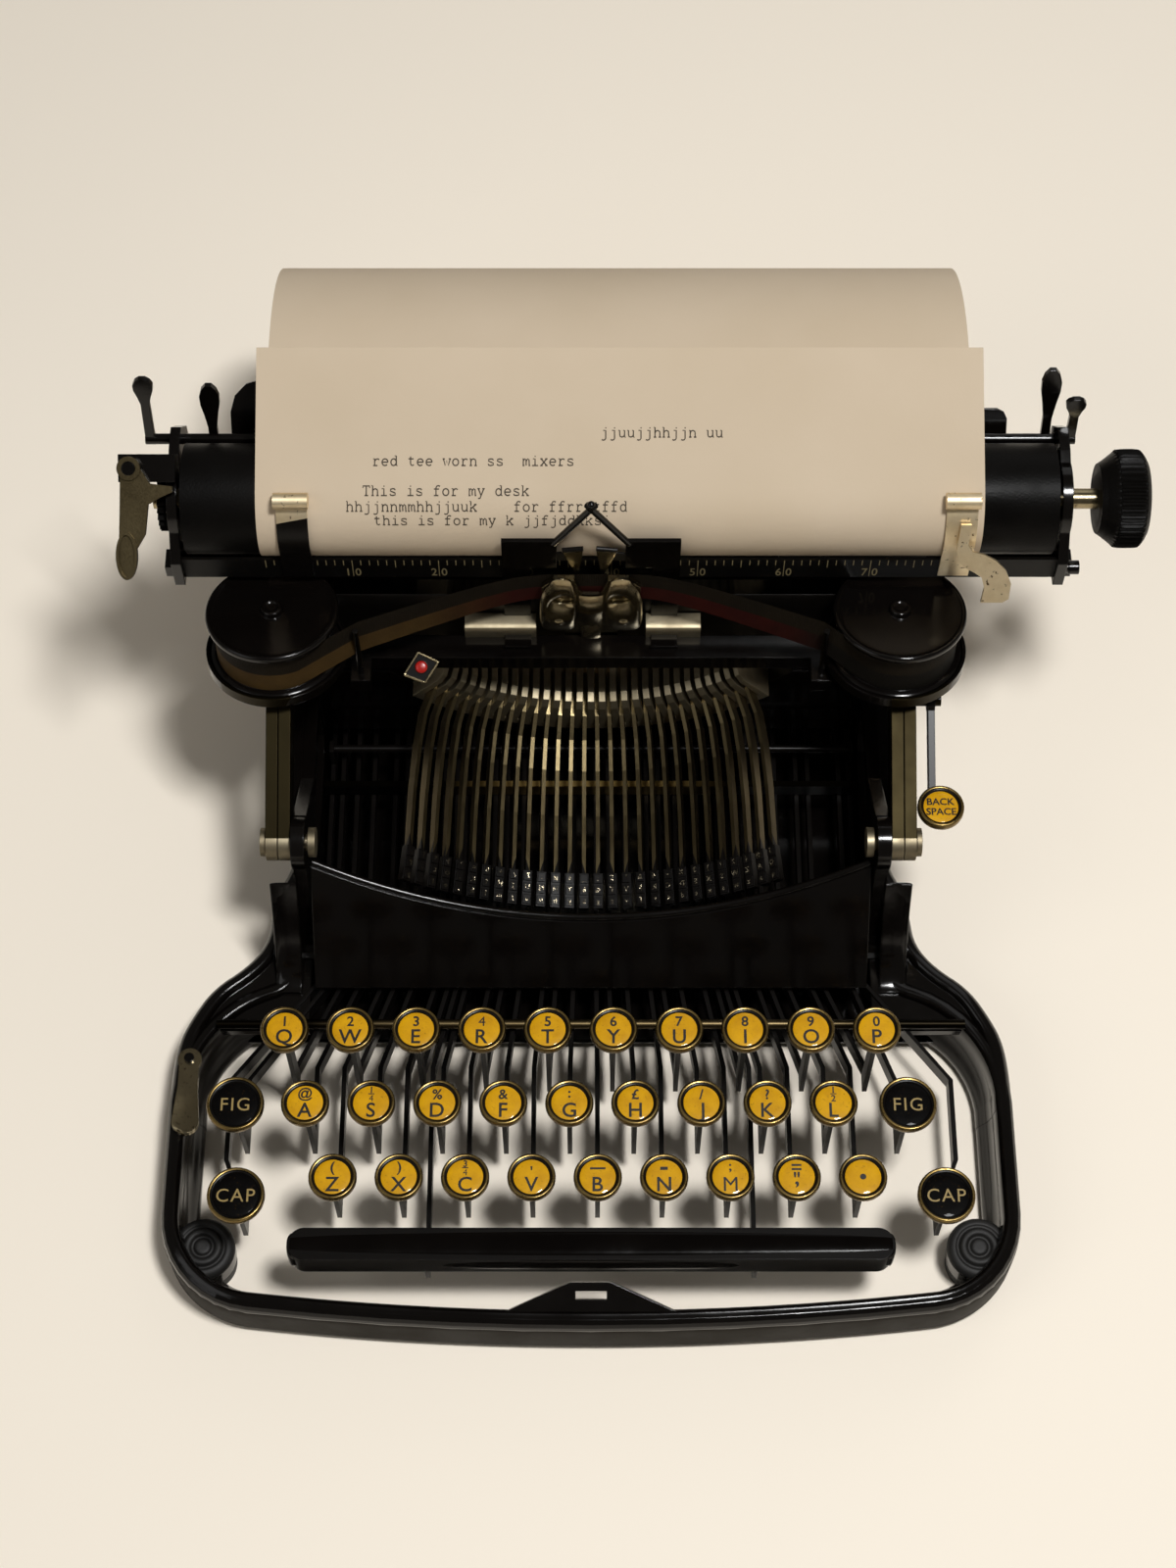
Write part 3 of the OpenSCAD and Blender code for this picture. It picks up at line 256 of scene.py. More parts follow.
# Shoulders and cheeks
# The casting swells where the rail turns in to the neck, and a cheek sweeps up from there to each hinge.
# A flange along the top of each side plate stiffens it. All are of one piece with the casting.


def left_of(line):
    """Unit vectors square to a flat line, on the left of its way."""
    way = np.gradient(np.asarray(line, float), axis=0)
    way /= np.maximum(np.linalg.norm(way, axis=1, keepdims=True), 1e-9)
    return np.stack([-way[:, 1], way[:, 0]], -1)


def doubled(face, back):
    """A sheet of points and its other side, moved by back, as one ring for each row."""
    return np.concatenate([face, face[:, ::-1] + back], 1)


swell = softened([[127, -50], [127, -38], [126, -28], [123.3, -20.6], [116.6, -9.2], [106.5, -2], [100.6, 6],
                  [99.6, 16], [97.6, 25], [94.2, 32], [93.9, 40]], 3)
inwards = left_of(swell)
level = wall * [1, 0.995] + [0, 0.03]  # just below the rail's own top, so that the two don't fight
plan = (swell + inwards * (half + 0.1))[:, None] + inwards[:, None] * level[:, :1]
shoulder = spread(plan[..., 0], plan[..., 1], rail_z + level[:, 1])
web_edge = swell[swell[:, 1] > -24]
web_x = web_edge[:, :1] - 4
plate_x = 86.0
web = doubled(spread(web_x + (plate_x - web_x) * np.linspace(0, 1, 12), web_edge[:, 1:], 19.2), [0, 0, -3])
rise = np.linspace(0, 1, 40)[:, None]
ramp_y, ramp_z = -11.6 + 21.8 * rise, 20.2 + 32 * rise * rise
over = np.array([[88.7, 0.3], [91.5, 0.45], [94.6, 0.35], [95.9, 0.0], [96.6, -0.8]])
down = np.linspace(0, 1, 9)[1:]
ramp = np.concatenate([spread(over[:, 0], ramp_y, ramp_z + over[:, 1]),
                       spread(96.6 + 2.2 * down ** 2, ramp_y, (ramp_z - 0.8) * (1 - down) + 16 * down),
                       spread(88.7, ramp_y, 16.0)], 1)
lip = np.array([[88.8, 47.4], [93.2, 47.6], [93.9, 48.6], [93.2, 49.8], [88.8, 50.2]])
flange = spread(lip[:, 0], np.linspace(27, 94, 20)[:, None], lip[:, 1])
parts = []
for s in (-1, 1):
    for skin in (shoulder, web, ramp, flange):
        points, faces = capped(skin)
        parts.append((points * [s, 1, 1], faces, japan))
piece("casting_shoulders", "base", parts)

# Bottom plate
# A black japanned steel sheet under the levers and the type, let into the casting from the shoulders to the
# back bar. Under the panel's foot it is a plate guessed from the black there; under the type it is painted
# shade, a black sheet set where the table would lie in shadow. Its front edge is folded up so that it doesn't
# cut.
plate_front, plate_back, plate_z, fold_w = -22.0, 104.4, 4.1, 1.6
far = np.linspace(plate_front, plate_back, 90)[:, None]
x, y, _ = bow_course()
across = np.interp(far, y, x) * np.linspace(-1, 1, 61)
fold = 2.0 * np.clip(1 - (far - plate_front) / fold_w, 0, 1) ** 2
dents = 0.05 * np.cos(across / 9) * np.cos(far / 11)
plate = doubled(spread(across, far, plate_z + fold + dents), [0, 0, -0.9])
piece("bottom_plate_painted_shade", "base", [(*capped(plate), japan)])

# Front panel
# A sloping sheet of steel over the key levers, hollowed along its top edge so that the type shows. It is
# enamelled like the casting, and its hollow edge is rolled forward so that it doesn't cut.


def tube(path, radius, sides=12):
    """A round section carried along a path. Its frame leans on the z axis."""
    path = np.asarray(path, float)
    along = np.gradient(path, axis=0)
    along /= np.linalg.norm(along, axis=1, keepdims=True)
    lean = np.where(np.abs(along[:, 2:3]) > 0.95, [[0.0, 1.0, 0.0]], [[0.0, 0.0, 1.0]])
    side = np.cross(along, lean)
    side /= np.linalg.norm(side, axis=1, keepdims=True)
    up = np.cross(side, along)
    a = (np.arange(sides) * 2 * math.pi / sides)[:, None]
    return capped(path[:, None] + radius * (side[:, None] * np.cos(a) + up[:, None] * np.sin(a)))


panel_y, panel_z, panel_slope = -10.0, 22.0, math.radians(50)
hollow_z, hollow_r, proud = 300.0, 260.0, 0.8
x = np.linspace(-84, 84, 121)
run = (hollow_z - np.sqrt(hollow_r ** 2 - x * x) - panel_z) / math.sin(panel_slope)
rim = spread(x, panel_y + run * math.cos(panel_slope) - proud * math.sin(panel_slope),
             panel_z + run * math.sin(panel_slope) + proud * math.cos(panel_slope))
piece("panel_rim", "base", [(*tube(rim, 1.1), japan)])
dress("front_panel", japan)

# Rubber feet
# Soft rubber plugs pushed through lugs inside the front corners, and two discs under the back of the casting.
# Their heads are moulded in rings.


def turned(outline, steps=64, ripple=0.0, count=0, mask=None):
    """A surface of revolution about z: each (radius, height) goes once round; ripple cuts count grooves."""
    p = np.asarray(outline, float)
    a = np.arange(steps) * 2 * math.pi / steps
    r = np.repeat(p[:, :1], steps, 1)
    if count:
        r = r - ripple * np.asarray(mask, float)[:, None] * (0.5 + 0.5 * np.cos(count * a)) ** 0.7
    return spread(r * np.cos(a), r * np.sin(a), p[:, 1:]).reshape(-1, 3), grid(len(p), steps, round_cols=True)


# Old rubber: grey-brown bloom over black, matt, with a sandy grain of about 0.5 mm
rubber = mottled("moulded_rubber_aged", ("#0b0a0a", "#1b1916"), 150, 6.0, rough=0.62,
                 relief=(2000, 2.0, 0.25, 0.0002))
rings = softened([[0, 16.2], [2.2, 16.2], [2.6, 15.2], [3.4, 15.2], [3.9, 16.4], [5.4, 16.4], [5.9, 15.0],
                  [6.6, 15.0], [7.1, 15.6], [8.4, 15.2], [9.3, 14.0], [9.4, 12.6], [8.8, 12.2]], 2)
foot, foot_faces = turned(rings, 56)
foot_x, foot_y = 114.35, -91
piece("foot_heads", "base", [(foot + [s * foot_x, foot_y, 0], foot_faces, rubber) for s in (-1, 1)])
dress("rubber_feet", rubber)

# Type basket
# Twenty-eight forged steel bars lie in a fan and swing up to one point on the platen. Each carries a hardened
# slug with three characters, and turns in a slot milled in the steel segment behind.
METAL = {"Metallic": 1.0}
# Drawn steel: grey, filed bright along its edges, brown where oil has dried; file marks about 0.4 mm apart
steel, t = finish("forged_steel_polished")
at = add(t, "ShaderNodeTexCoord")["Object"]
oil = add(t, "ShaderNodeTexNoise", {"Vector": at, "Scale": 60.0, "Detail": 5.0})["Fac"]
drawn = add(t, "ShaderNodeMapping", {"Vector": at, "Scale": (2500.0, 60.0, 2500.0)})["Vector"]
file_marks = add(t, "ShaderNodeTexNoise", {"Vector": drawn, "Scale": 1.0, "Detail": 2.0})["Fac"]
tone = add(t, "ShaderNodeMix", {0: oil, 6: linear("#74684c"), 7: linear("#3b3222")}, data_type="RGBA")[2]
dull = add(t, "ShaderNodeMapRange", {"Value": file_marks, "To Min": 0.24, "To Max": 0.46})["Result"]
bump = add(t, "ShaderNodeBump", {"Strength": 0.1, "Distance": 0.0002, "Height": file_marks})["Normal"]
look = add(t, "ShaderNodeBsdfPrincipled", {"Base Color": tone, "Roughness": dull, "Normal": bump,
                                           **METAL})["BSDF"]
add(t, "ShaderNodeOutputMaterial", {"Surface": look})
# Dulled nickel: plate scratched all over, so that it takes the light broadly and looks paler
dull_nickel = mottled("nickel_plate_dulled", ("#b5aa90", "#6a5e48"), 130, 6.0, 0.6,
                      rough=(0.3, 0.8, 0.42, 0.58), edge=0.0003, shader=METAL)
# Blackened steel: satin black, rubbed to brown on its edges
black_steel = mottled("blackened_steel", ("#050404", "#0e0b08"), 220, 5.0, rough=0.3, edge=0.0003,
                      shader={"Specular IOR Level": 0.16})
# Hardened type steel: near white, buffed, so that each step of a slug throws its own glint
type_steel = mottled("hardened_type_steel", ("#b3a88f", "#453d2f"), 700, 4.0, rough=0.18,
                     relief=(700, 4.0, 0.9, 0.0006), shader=METAL)


def lettering(text, weight=0.0, depth=0.0):
    """Letters in Blender's own font about their middle, with capitals 1 high: flat, or solid both ways."""
    line = bpy.data.curves.new("letters", "FONT")
    line.body = text
    line.resolution_u = 1 if depth else 4
    line.offset = weight
    line.extrude = depth
    line.space_character = 1.15 if len(text) == 3 else 1.0
    shown = bpy.data.objects.new("letters", line)
    mesh = shown.to_mesh()
    flat = np.zeros(len(mesh.vertices) * 3)
    mesh.vertices.foreach_get("co", flat)
    flat = flat.reshape(-1, 3) / 0.729  # the font's own height of capitals
    flat[:, 0] -= (flat[:, 0].min() + flat[:, 0].max()) / 2
    corners = [list(f.vertices) for f in mesh.polygons]
    bpy.data.objects.remove(shown)
    bpy.data.curves.remove(line)
    return flat, corners


bars, bar_len, dip, fan = 28, 75.0, math.radians(11), math.radians(39)
print_spot = np.array([0, 86.0, 119.0])


def on_bar(i, across, along, up):
    """Points of bar i: across it, along it from the print plane and up from its line, dipped and fanned."""
    y = along * math.cos(dip) - up * math.sin(dip)
    z = along * math.sin(dip) + up * math.cos(dip) - bar_len
    a = fan * (2 * i / (bars - 1) - 1)
    x = across * math.cos(a) + z * math.sin(a)
    return spread(x, y, z * math.cos(a) - across * math.sin(a)) + print_spot


slug_y, slug_top, type_h, type_step = 25.5, 1.62, 1.7, 11 / 3
dress("typebars", steel, black_steel, pick=lambda c: c[:, 1] < slug_y)  # the slugs are painted black: painted shade round the glints of their characters
parts = []
for i, (small, figure) in enumerate(zip("qazwsxedcrfvtgbyhnujmik,ol.p", "1@(2?)3%-4&'5:_6#;7/+8=\"9*!.")):
    for k, letter in enumerate((small, small.upper(), figure)):
        flat, corners = lettering(letter, 0.0, 0.1)
        along = type_h * (flat[:, 1] - 0.4) + 1.8 - bar_len + k * type_step
        spot = on_bar(i, -type_h * flat[:, 0], along, slug_top + type_h * flat[:, 2])
        parts.append((spot, [f[::-1] for f in corners], type_steel))
piece("type_characters", "base", parts)
for node, coat in (("type_segment", dull_nickel), ("hinge_pins", dull_nickel), ("fulcrum_rod", steel),
                   ("spring_drum", steel)):
    dress(node, coat)

# Keys
# Each key is a flat steel lever, blackened, with a stem that carries a cup: a celluloid disc with its printed
# letter under glass, held by a ring of nickelled brass that has worn to a bronze colour.


def rubbed_steel(name, inner, outer, shine):
    """Oil-black steel with a painted glint: bright within inner mm of the machine's middle, fading to black
    by outer mm.
    """
    made, t = finish(name)
    at = add(t, "ShaderNodeTexCoord")["Object"]
    shift = (ORIGIN[0] / 1000, 0.0, 0.0)
    from_middle = add(t, "ShaderNodeMapping", {"Vector": at, "Location": shift})["Vector"]
    off = add(t, "ShaderNodeSeparateXYZ", {"Vector": from_middle})["X"]
    reach = add(t, "ShaderNodeMath", {0: off}, operation="ABSOLUTE")["Value"]
    bright = add(t, "ShaderNodeMapRange", {"Value": reach, "From Min": inner / 1000, "From Max": outer / 1000,
                                           "To Min": 1.0, "To Max": 0.0})["Result"]
    tone = add(t, "ShaderNodeMix", {0: bright, 6: linear("#100d08"), 7: linear(shine)}, data_type="RGBA")[2]
    look = add(t, "ShaderNodeBsdfPrincipled", {"Base Color": tone, "Roughness": 0.35, **METAL})["BSDF"]
    add(t, "ShaderNodeOutputMaterial", {"Surface": look})
    return made


def printed(name, base, stain, glass, sheen=0.15):
    """A celluloid disc of a given sheen, clouded with a stain and specked with dirt, under glass."""
    made, t = finish(name)
    at = add(t, "ShaderNodeTexCoord")["Object"]
    cloud = add(t, "ShaderNodeTexNoise", {"Vector": at, "Scale": 190.0, "Detail": 6.0,
                                          "Roughness": 0.6})["Fac"]
    dirt = add(t, "ShaderNodeTexNoise", {"Vector": at, "Scale": 1300.0, "Detail": 3.0})["Fac"]
    spot = add(t, "ShaderNodeMapRange", {"Value": dirt, "From Min": 0.62, "From Max": 0.8,
                                         "To Max": 0.5})["Result"]
    patch = add(t, "ShaderNodeMapRange", {"Value": cloud, "From Min": 0.35, "From Max": 0.75})["Result"]
    tone = add(t, "ShaderNodeMix", {0: patch, 6: linear(base), 7: linear(stain)}, data_type="RGBA")[2]
    tone = add(t, "ShaderNodeMix", {0: spot, 6: tone, 7: linear("#3d2c10")}, data_type="RGBA")[2]
    look = add(t, "ShaderNodeBsdfPrincipled", {"Base Color": tone, "Roughness": 0.5,
                                               "Specular IOR Level": sheen, "Coat Weight": glass,
                                               "Coat Roughness": 0.05})["BSDF"]
    add(t, "ShaderNodeOutputMaterial", {"Surface": look})
    return made


# Painted glint: a golden glint painted into the middle 90 mm of the bar that the levers strike, dull along
# their rod
struck_bar = rubbed_steel("oiled_steel_painted_glint", 22, 45, "#b3965a")
rest_rod = rubbed_steel("oiled_steel_painted_dull_glint", 55, 85, "#564a33")
# Worn nickel on brass: bronze, brighter where fingers polish it
ring_metal = mottled("nickelled_brass_worn", ("#9a8350", "#41321a"), 420, 5.0, 0.65,
                     rough=(0.3, 0.75, 0.2, 0.46), shader=METAL)
# Celluloid: warm yellow or black, clouded, with the window's light on its glass; the groove round it is
# painted dark brown, as painted shade
celluloid = printed("yellowed_celluloid_under_glass", "#d49e02", "#bb8602", 0.45)
black_celluloid = printed("black_celluloid_under_glass", "#050404", "#0a0908", 0.05, 0.03)
groove = printed("painted_shade_in_the_ring_groove", "#1a1208", "#0b0704", 0.0)
# Printing: black ink under the glass of the letter keys, and bronze powder, a dull gold, on the shift keys
letter_ink = mottled("black_printed_ink", ("#0c0a08", "#1f1810"), 3000, rough=0.4,
                     shader={"Coat Weight": 0.6, "Coat Roughness": 0.05})
gilt = mottled("gilt_printing", ("#a88f52", "#77643a"), 1500)


def key_top(x, y, top, r, coats, legend):
    """Ring, groove, disc and printing of one key; legend rows are (text, height, place above the middle)."""
    disc_coat, groove_coat, ink_coat = coats
    ring = softened([[r - 2.4, -4.2], [r - 0.7, -3.5], [r + 0.15, -2.3], [r + 0.25, -0.8], [r + 0.05, 0.15],
                     [r - 0.35, 0.36], [r - 0.75, 0.25]], 2)
    slope = softened([[r - 0.75, 0.25], [r - 1.0, -0.1], [r - 1.45, -0.52], [r - 1.75, -0.58]], 1)
    disc = np.array([[r - 1.55, -0.57], [r - 1.7, -0.5], [0.5 * r, -0.42], [0.25 * r, -0.39], [0, -0.38]])
    parts = []
    for outline, coat in ((ring, ring_metal), (slope, groove_coat), (disc, disc_coat)):
        points, faces = turned(outline, 40)
        parts.append((points + [x, y, top], faces, coat))
    for text, tall, middle in legend:
        thin = ink_coat == gilt or text in "M4"
        flat, corners = lettering(text, 0.0 if thin else 0.02 if tall < 3.5 else 0.012)
        sign = len(text) == 1 and not text.isalnum()
        low, high = (flat[:, 1].min(), flat[:, 1].max()) if sign else (0, 1)
        parts.append((flat * tall + [x, y + middle - tall * (low + high) / 2, top - 0.33], corners, ink_coat))
    return parts


yellow_key, black_key = (celluloid, groove, letter_ink), (black_celluloid, black_celluloid, gilt)
pitch, key_r, shift_r = 19.1, 6.8, 8.15
# banks from the front: first key's place in pitches, y, height of the rings, names, upper and lower marks
banks = ((-3.9, -79, 43, "z x c v b n m comma period", "( ) 3/4 ' _ - ; = .", "Z X C V B N M , ."),
         (-4.33, -59, 50, "a s d f g h j k l", "@ 1/4 % & : £ / ? 1/2", "A S D F G H J K L"),
         (-4.66, -39, 57, "q w e r t y u i o p", "1 2 3 4 5 6 7 8 9 0", "Q W E R T Y U I O P"))
for start, y, top, *columns in banks:
    for c, (name, upper, lower) in enumerate(zip(*(column.split() for column in columns))):
        legend = [(lower, 4.5, -2.1)]
        if lower == ".":
            legend = [(lower, 9.0, 0.0)]
        elif lower == ",":
            legend = [("=", 4.2, 2.9), ('"', 4.4, 0.6), (",", 5.2, -2.4)]
        elif len(upper) == 3:
            legend += [(upper[0], 2.0, 4.0), ("_", 2.4, 2.7), (upper[2], 2.0, 1.4)]
        elif upper in "_-":
            legend += [(upper, 6.0, 2.5)]
        else:
            legend += [(upper, 3.1, 2.55)]
        parts = key_top((start + c) * pitch, y, top, key_r, yellow_key, legend)
        piece("key_top_" + name, "b_key_" + name, parts)
        dress("key_" + name, black_steel)

for name, body, spots in (("fig", "b_fig_shift", ((-103, -59, 49), (91.7, -59, 49))),
                          ("cap", "b_cap_shift", ((-102, -84.5, 43), (102, -84.5, 43)))):
    parts = []
    for spot in spots:
        parts += key_top(*spot, shift_r, black_key, [(name.upper(), 4.1, 0.0)])
    piece(name + "_key_tops", body, parts)
    dress(name + "_shift_keys", black_steel)

legend = [("BACK", 2.3, 1.7), ("SPACE", 2.3, -1.6)]
piece("backspace_top", "b_backspace", key_top(103.75, 26, 72, 6.75, yellow_key, legend))
dress("backspace_key", black_steel)
dress("lever_comb", black_steel, rest_rod, pick=lambda c: c[:, 1] < -15)  # the rod passes before the comb
dress("universal_bar", struck_bar)

# Space bar
# A bar of lacquered wood on two steel arms, before the front bank of keys. It is a squared oval in section,
# and its ends are rounded.
# Lacquered wood: deep black, softer than the enamel, so that the light lies along it as one thin line
lacquer = enamel("black_lacquered_wood", "#040303", "#0b0806", 0.12, 0.24, 0.1)
space_len, space_deep, space_low, space_high, space_y = 174.6, 10.0, 26.8, 38.4, -97.5
u = np.linspace(-math.pi / 2, math.pi / 2, 97)[:, None]
shrink = np.cos(u) ** 0.5
a = np.arange(40) * 2 * math.pi / 40
x = np.sign(u) * (space_len - space_deep) / 2 * np.minimum(1, np.abs(u) / 0.9) + space_deep / 2 * np.sin(u)
y = space_deep / 2 * shrink * np.sign(np.cos(a)) * np.abs(np.cos(a)) ** 0.45 + space_y
tall = (space_high - space_low) / 2 * (0.72 + 0.28 * shrink)
z = (space_low + space_high) / 2 + tall * np.sign(np.sin(a)) * np.abs(np.sin(a)) ** 0.6
wood = spread(x, y, z)
piece("space_bar_wood", "b_space_bar", [(wood, grid(97, 40, round_cols=True), lacquer)])
dress("space_bar", black_steel)

# Shift lock
# A spoon of nickelled steel that swings on a stud at the left shoulder of the casting. Its free end is broad
# and hollowed for a fingertip.
# Nickel plate: warm silver, polished, clouded in patches about 10 mm wide and pitted with dark tarnish
nickel = mottled("nickel_plate_worn", ("#b4a98c", "#7d6d4c"), 95, 6.0, 0.6, rough=(0.3, 0.8, 0.12, 0.34),
                 specks=(900, 4.0, 0.6, 0.72, "#5a4c38"), relief=(900, 4.0, 0.12, 0.0002), edge=0.0003,
                 shader=METAL)
lock = np.array([-121.09, -34.61, 21.4])
v = np.linspace(0, 1, 40)[:, None]
u = np.linspace(-1, 1, 15)
wide = np.where(v < 0.1, 3.6, 3.0 + 1.1 * np.clip((v - 0.45) / 0.4, 0, 1))
wide = wide * np.sqrt(1 - np.clip((v - 0.86) / 0.14, 0, 1) ** 2) * np.sqrt(np.clip(v / 0.1, 0, 1))
hollow = 0.5 * (1 - u ** 2) * np.clip((v - 0.4) / 0.3, 0, 1)
lift = 1.9 + 1.6 * np.clip(v - 0.35, 0, 1) ** 1.5 - hollow
spoon = doubled(spread(wide * u, 3.4 - 27.5 * v, lift), [0, 0, -0.9]) + lock
piece("shift_lock_spoon", "b_shift_lock", [(spoon, grid(40, 30, round_cols=True), nickel)])
dress("shift_lock", nickel)

# Folding frame
# Two pairs of arms swing the ribbon frame and carriage forward over the keys. The frame is japanned iron. Its
# arms are bars of oiled steel, and their eyes on the hinge pin are nickelled.
# Oiled bar steel: dark olive, satin, browner in patches about 15 mm wide where the oil has dried
olive_steel = mottled("oiled_bar_steel", ("#302a1a", "#17130b"), 70, 5.0, rough=(0.0, 1.0, 0.3, 0.5),
                      edge=0.0003, shader=METAL)
hinge_y, hinge_z, eye_r = 19.0, 62.0, 5.6


def arm_finish(c):
    """0 on the frame, 1 on the arms, 2 on their eyes round the hinge."""
    arm = (np.abs(c[:, 0]) > 89.2) & (c[:, 1] < 57)
    return arm + (arm & (np.hypot(c[:, 1] - hinge_y, c[:, 2] - hinge_z) < eye_r)).astype(int)


dress("upper_frame", japan, olive_steel, dull_nickel, pick=arm_finish)
dress("card_holder", japan)

# Ribbon spools
# Pressed steel covers with a rolled rim and a turned hub, black enamel, over a blackened drum. They lean
# forward with the frame that carries them.
lean = math.radians(11)
LEAN = np.array([[1, 0, 0], [0, math.cos(lean), math.sin(lean)], [0, -math.sin(lean), math.cos(lean)]])
spools = {"left": np.array([-94.0, 74.5, 104.0]), "right": np.array([91.0, 74.5, 104.0])}
drum_r = 17.6
flange = softened([[2.05, -17.5], [19.5, -17.5], [19.6, -16.3], [drum_r, -16.0]], 1)
drum = np.array([[drum_r, -16.0], [drum_r, -12], [drum_r, -6], [drum_r, -2.6]])
lid = softened([[drum_r, -2.6], [19.2, -2.4], [19.7, -1.7], [19.7, -0.6], [19.3, -0.05], [18.8, 0.1],
                [18.3, -0.1], [17.9, -0.45], [16.0, -0.6], [3.6, -0.62], [3.3, -0.3], [3.2, 0.9], [2.8, 1.3],
                [2.0, 1.3], [1.7, 0.9], [0, 0.9]], 2)
for name, spot in spools.items():
    parts = []
    for outline, coat in ((flange, japan), (drum, black_steel), (lid, japan)):
        points, faces = turned(outline, 96)
        parts.append((points @ LEAN.T + spot, faces, coat))
    piece("spool_cover_" + name, name + "_spool", parts, stands_for=["spool_" + name])

# Ribbon
# An inked cotton ribbon, black along its upper half and red along the lower. It leaves the front of each
# drum, passes behind a guide post and runs to the vibrator in the middle.


def inked_cotton(name, threads, tones, *changes):
    """Cotton woven along the threads' axes, blotted in two tones; changes along x are (from, to, tones)."""
    made, t = finish(name)
    at = add(t, "ShaderNodeTexCoord")["Object"]
    from_left = add(t, "ShaderNodeSeparateXYZ", {"Vector": at})["X"]
    blot = add(t, "ShaderNodeTexNoise", {"Vector": at, "Scale": 120.0, "Detail": 6.0})["Fac"]
    tone = add(t, "ShaderNodeMix", {0: blot, 6: linear(tones[0]), 7: linear(tones[1])}, data_type="RGBA")[2]
    for start, end, tones in changes:
        old, ink, dry = tone, linear(tones[0]), linear(tones[1])
        new = add(t, "ShaderNodeMix", {0: blot, 6: ink, 7: dry}, data_type="RGBA")[2]
        part = add(t, "ShaderNodeMapRange", {"Value": from_left, "From Min": start,
                                             "From Max": end})["Result"]
        tone = add(t, "ShaderNodeMix", {0: part, 6: old, 7: new}, data_type="RGBA")[2]
    weave = 1.0
    for axis in threads:
        wave = add(t, "ShaderNodeTexWave", {"Vector": at, "Scale": 620.0}, bands_direction=axis)["Fac"]
        weave = add(t, "ShaderNodeMath", {0: wave, 1: weave}, operation="MULTIPLY")["Value"]
    bump = add(t, "ShaderNodeBump", {"Strength": 0.4, "Distance": 0.0002, "Height": weave})["Normal"]
    look = add(t, "ShaderNodeBsdfPrincipled", {"Base Color": tone, "Roughness": 0.75, "Normal": bump,
                                               "Specular IOR Level": 0.12})["BSDF"]
    add(t, "ShaderNodeOutputMaterial", {"Surface": look})
    return made


# Inked cotton: weave drawn at 0.5 mm so that it shows; black with brown patches, or brown, red, then black
cloth = inked_cotton("inked_cotton_ribbon", "XZ", ("#1d160b", "#0c0905"))
red_cloth = inked_cotton("red_inked_cotton_ribbon", "Z", ("#4b381a", "#2b1f0d"),
                         (-0.062, -0.036, ("#3a0d07", "#1a0503")), (0.04, 0.058, ("#0c0905", "#0c0905")))
mid_y, print_z, ribbon_w, wrap_r, wrap = 82.0, print_spot[2], 13.0, drum_r + 0.15, 125
held = 16.5  # half of the stretch that the vibrator holds
span = softened([[0, mid_y, print_z - 14], [held, mid_y, print_z - 14], [28, mid_y - 2, print_z - 15],
                 [48, 74.5, print_z - 17.5], [68.5, 67.7, print_z - 19.2]], 3)


def lengths(line):
    """How far each point of a line lies along it."""
    return np.concatenate([[0], np.cumsum(np.linalg.norm(np.diff(line, axis=0), axis=1))])


def wound(spot, post):
    """The stretch from a post to the spool and round its front: a tangent, then an arc on the drum."""
    middle = spot * [np.sign(spot[0]), 1, 1]
    out = middle[:2] - post[:2]
    way = math.atan2(out[1], out[0]) - math.asin(wrap_r / np.hypot(*out))
    a = way - math.pi / 2 + np.radians(np.linspace(0, wrap, 40))
    on_drum = spread(wrap_r * np.cos(a), wrap_r * np.sin(a), -9.3) @ LEAN.T + middle
    return np.concatenate([post + np.linspace(0, 1, 12)[1:-1, None] * (on_drum[0] - post), on_drum])


for name, spot in spools.items():
    side = np.sign(spot[0])
    line = np.concatenate([span, wound(spot, span[-1])])
    far = lengths(line)
    lean_in = np.clip((far - held) / 60, 0, 1)[:, None] * lean
    up = np.linspace(-ribbon_w / 2, ribbon_w / 2, 13)
    face = spread(side * line[:, :1], line[:, 1:2] + up * np.sin(lean_in), line[:, 2:] + up * np.cos(lean_in))
    parts = [(face[:, lo:hi], grid(len(line), hi - lo).tolist(), coat)
             for lo, hi, coat in ((0, 7, red_cloth), (6, 13, cloth))]
    ribbon = piece("ribbon_" + name, None, parts, stands_for=["ribbon"])
    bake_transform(ribbon)

# Vibrator
# A nickelled fork lifts the ribbon to the print point. Two bulged cheeks, each pierced by a slot, and a
# spring tongue are riveted to its flat plate.
dress("ribbon_vibrator", nickel)


def pierced(outline, hole, bulge, y, thick=0.7, rows=9):
    """A plate with a hole, as a ring: its section runs from hole to outline over a bulge and back behind."""
    s = np.concatenate([np.linspace(0, 1, rows), np.linspace(1, 0, rows)])
    flat = hole[:, None] * (1 - s[:, None]) + outline[:, None] * s[:, None]
    crown = bulge * np.sin(math.pi * np.clip(s, 0.02, 0.98)) ** 0.6
    depth = np.where(np.arange(2 * rows) < rows, y - thick - crown, y - crown * 0.9)
    faces = grid(len(outline), 2 * rows, round_rows=True, round_cols=True)
    return spread(flat[..., 0], depth, flat[..., 1]), faces


def evenly(points, first, n=72):
    """A closed line softened and sampled at equal steps of its length, from the sample nearest to first."""
    p = softened(points, 3, closed=True)
    p = np.concatenate([p, p[:1]])
    far = lengths(p)
    t = np.linspace(0, far[-1], n, endpoint=False)
    p = np.stack([np.interp(t, far, p[:, 0]), np.interp(t, far, p[:, 1])], -1)
    return np.roll(p, -np.argmin(np.linalg.norm(p - first, axis=1)), 0)


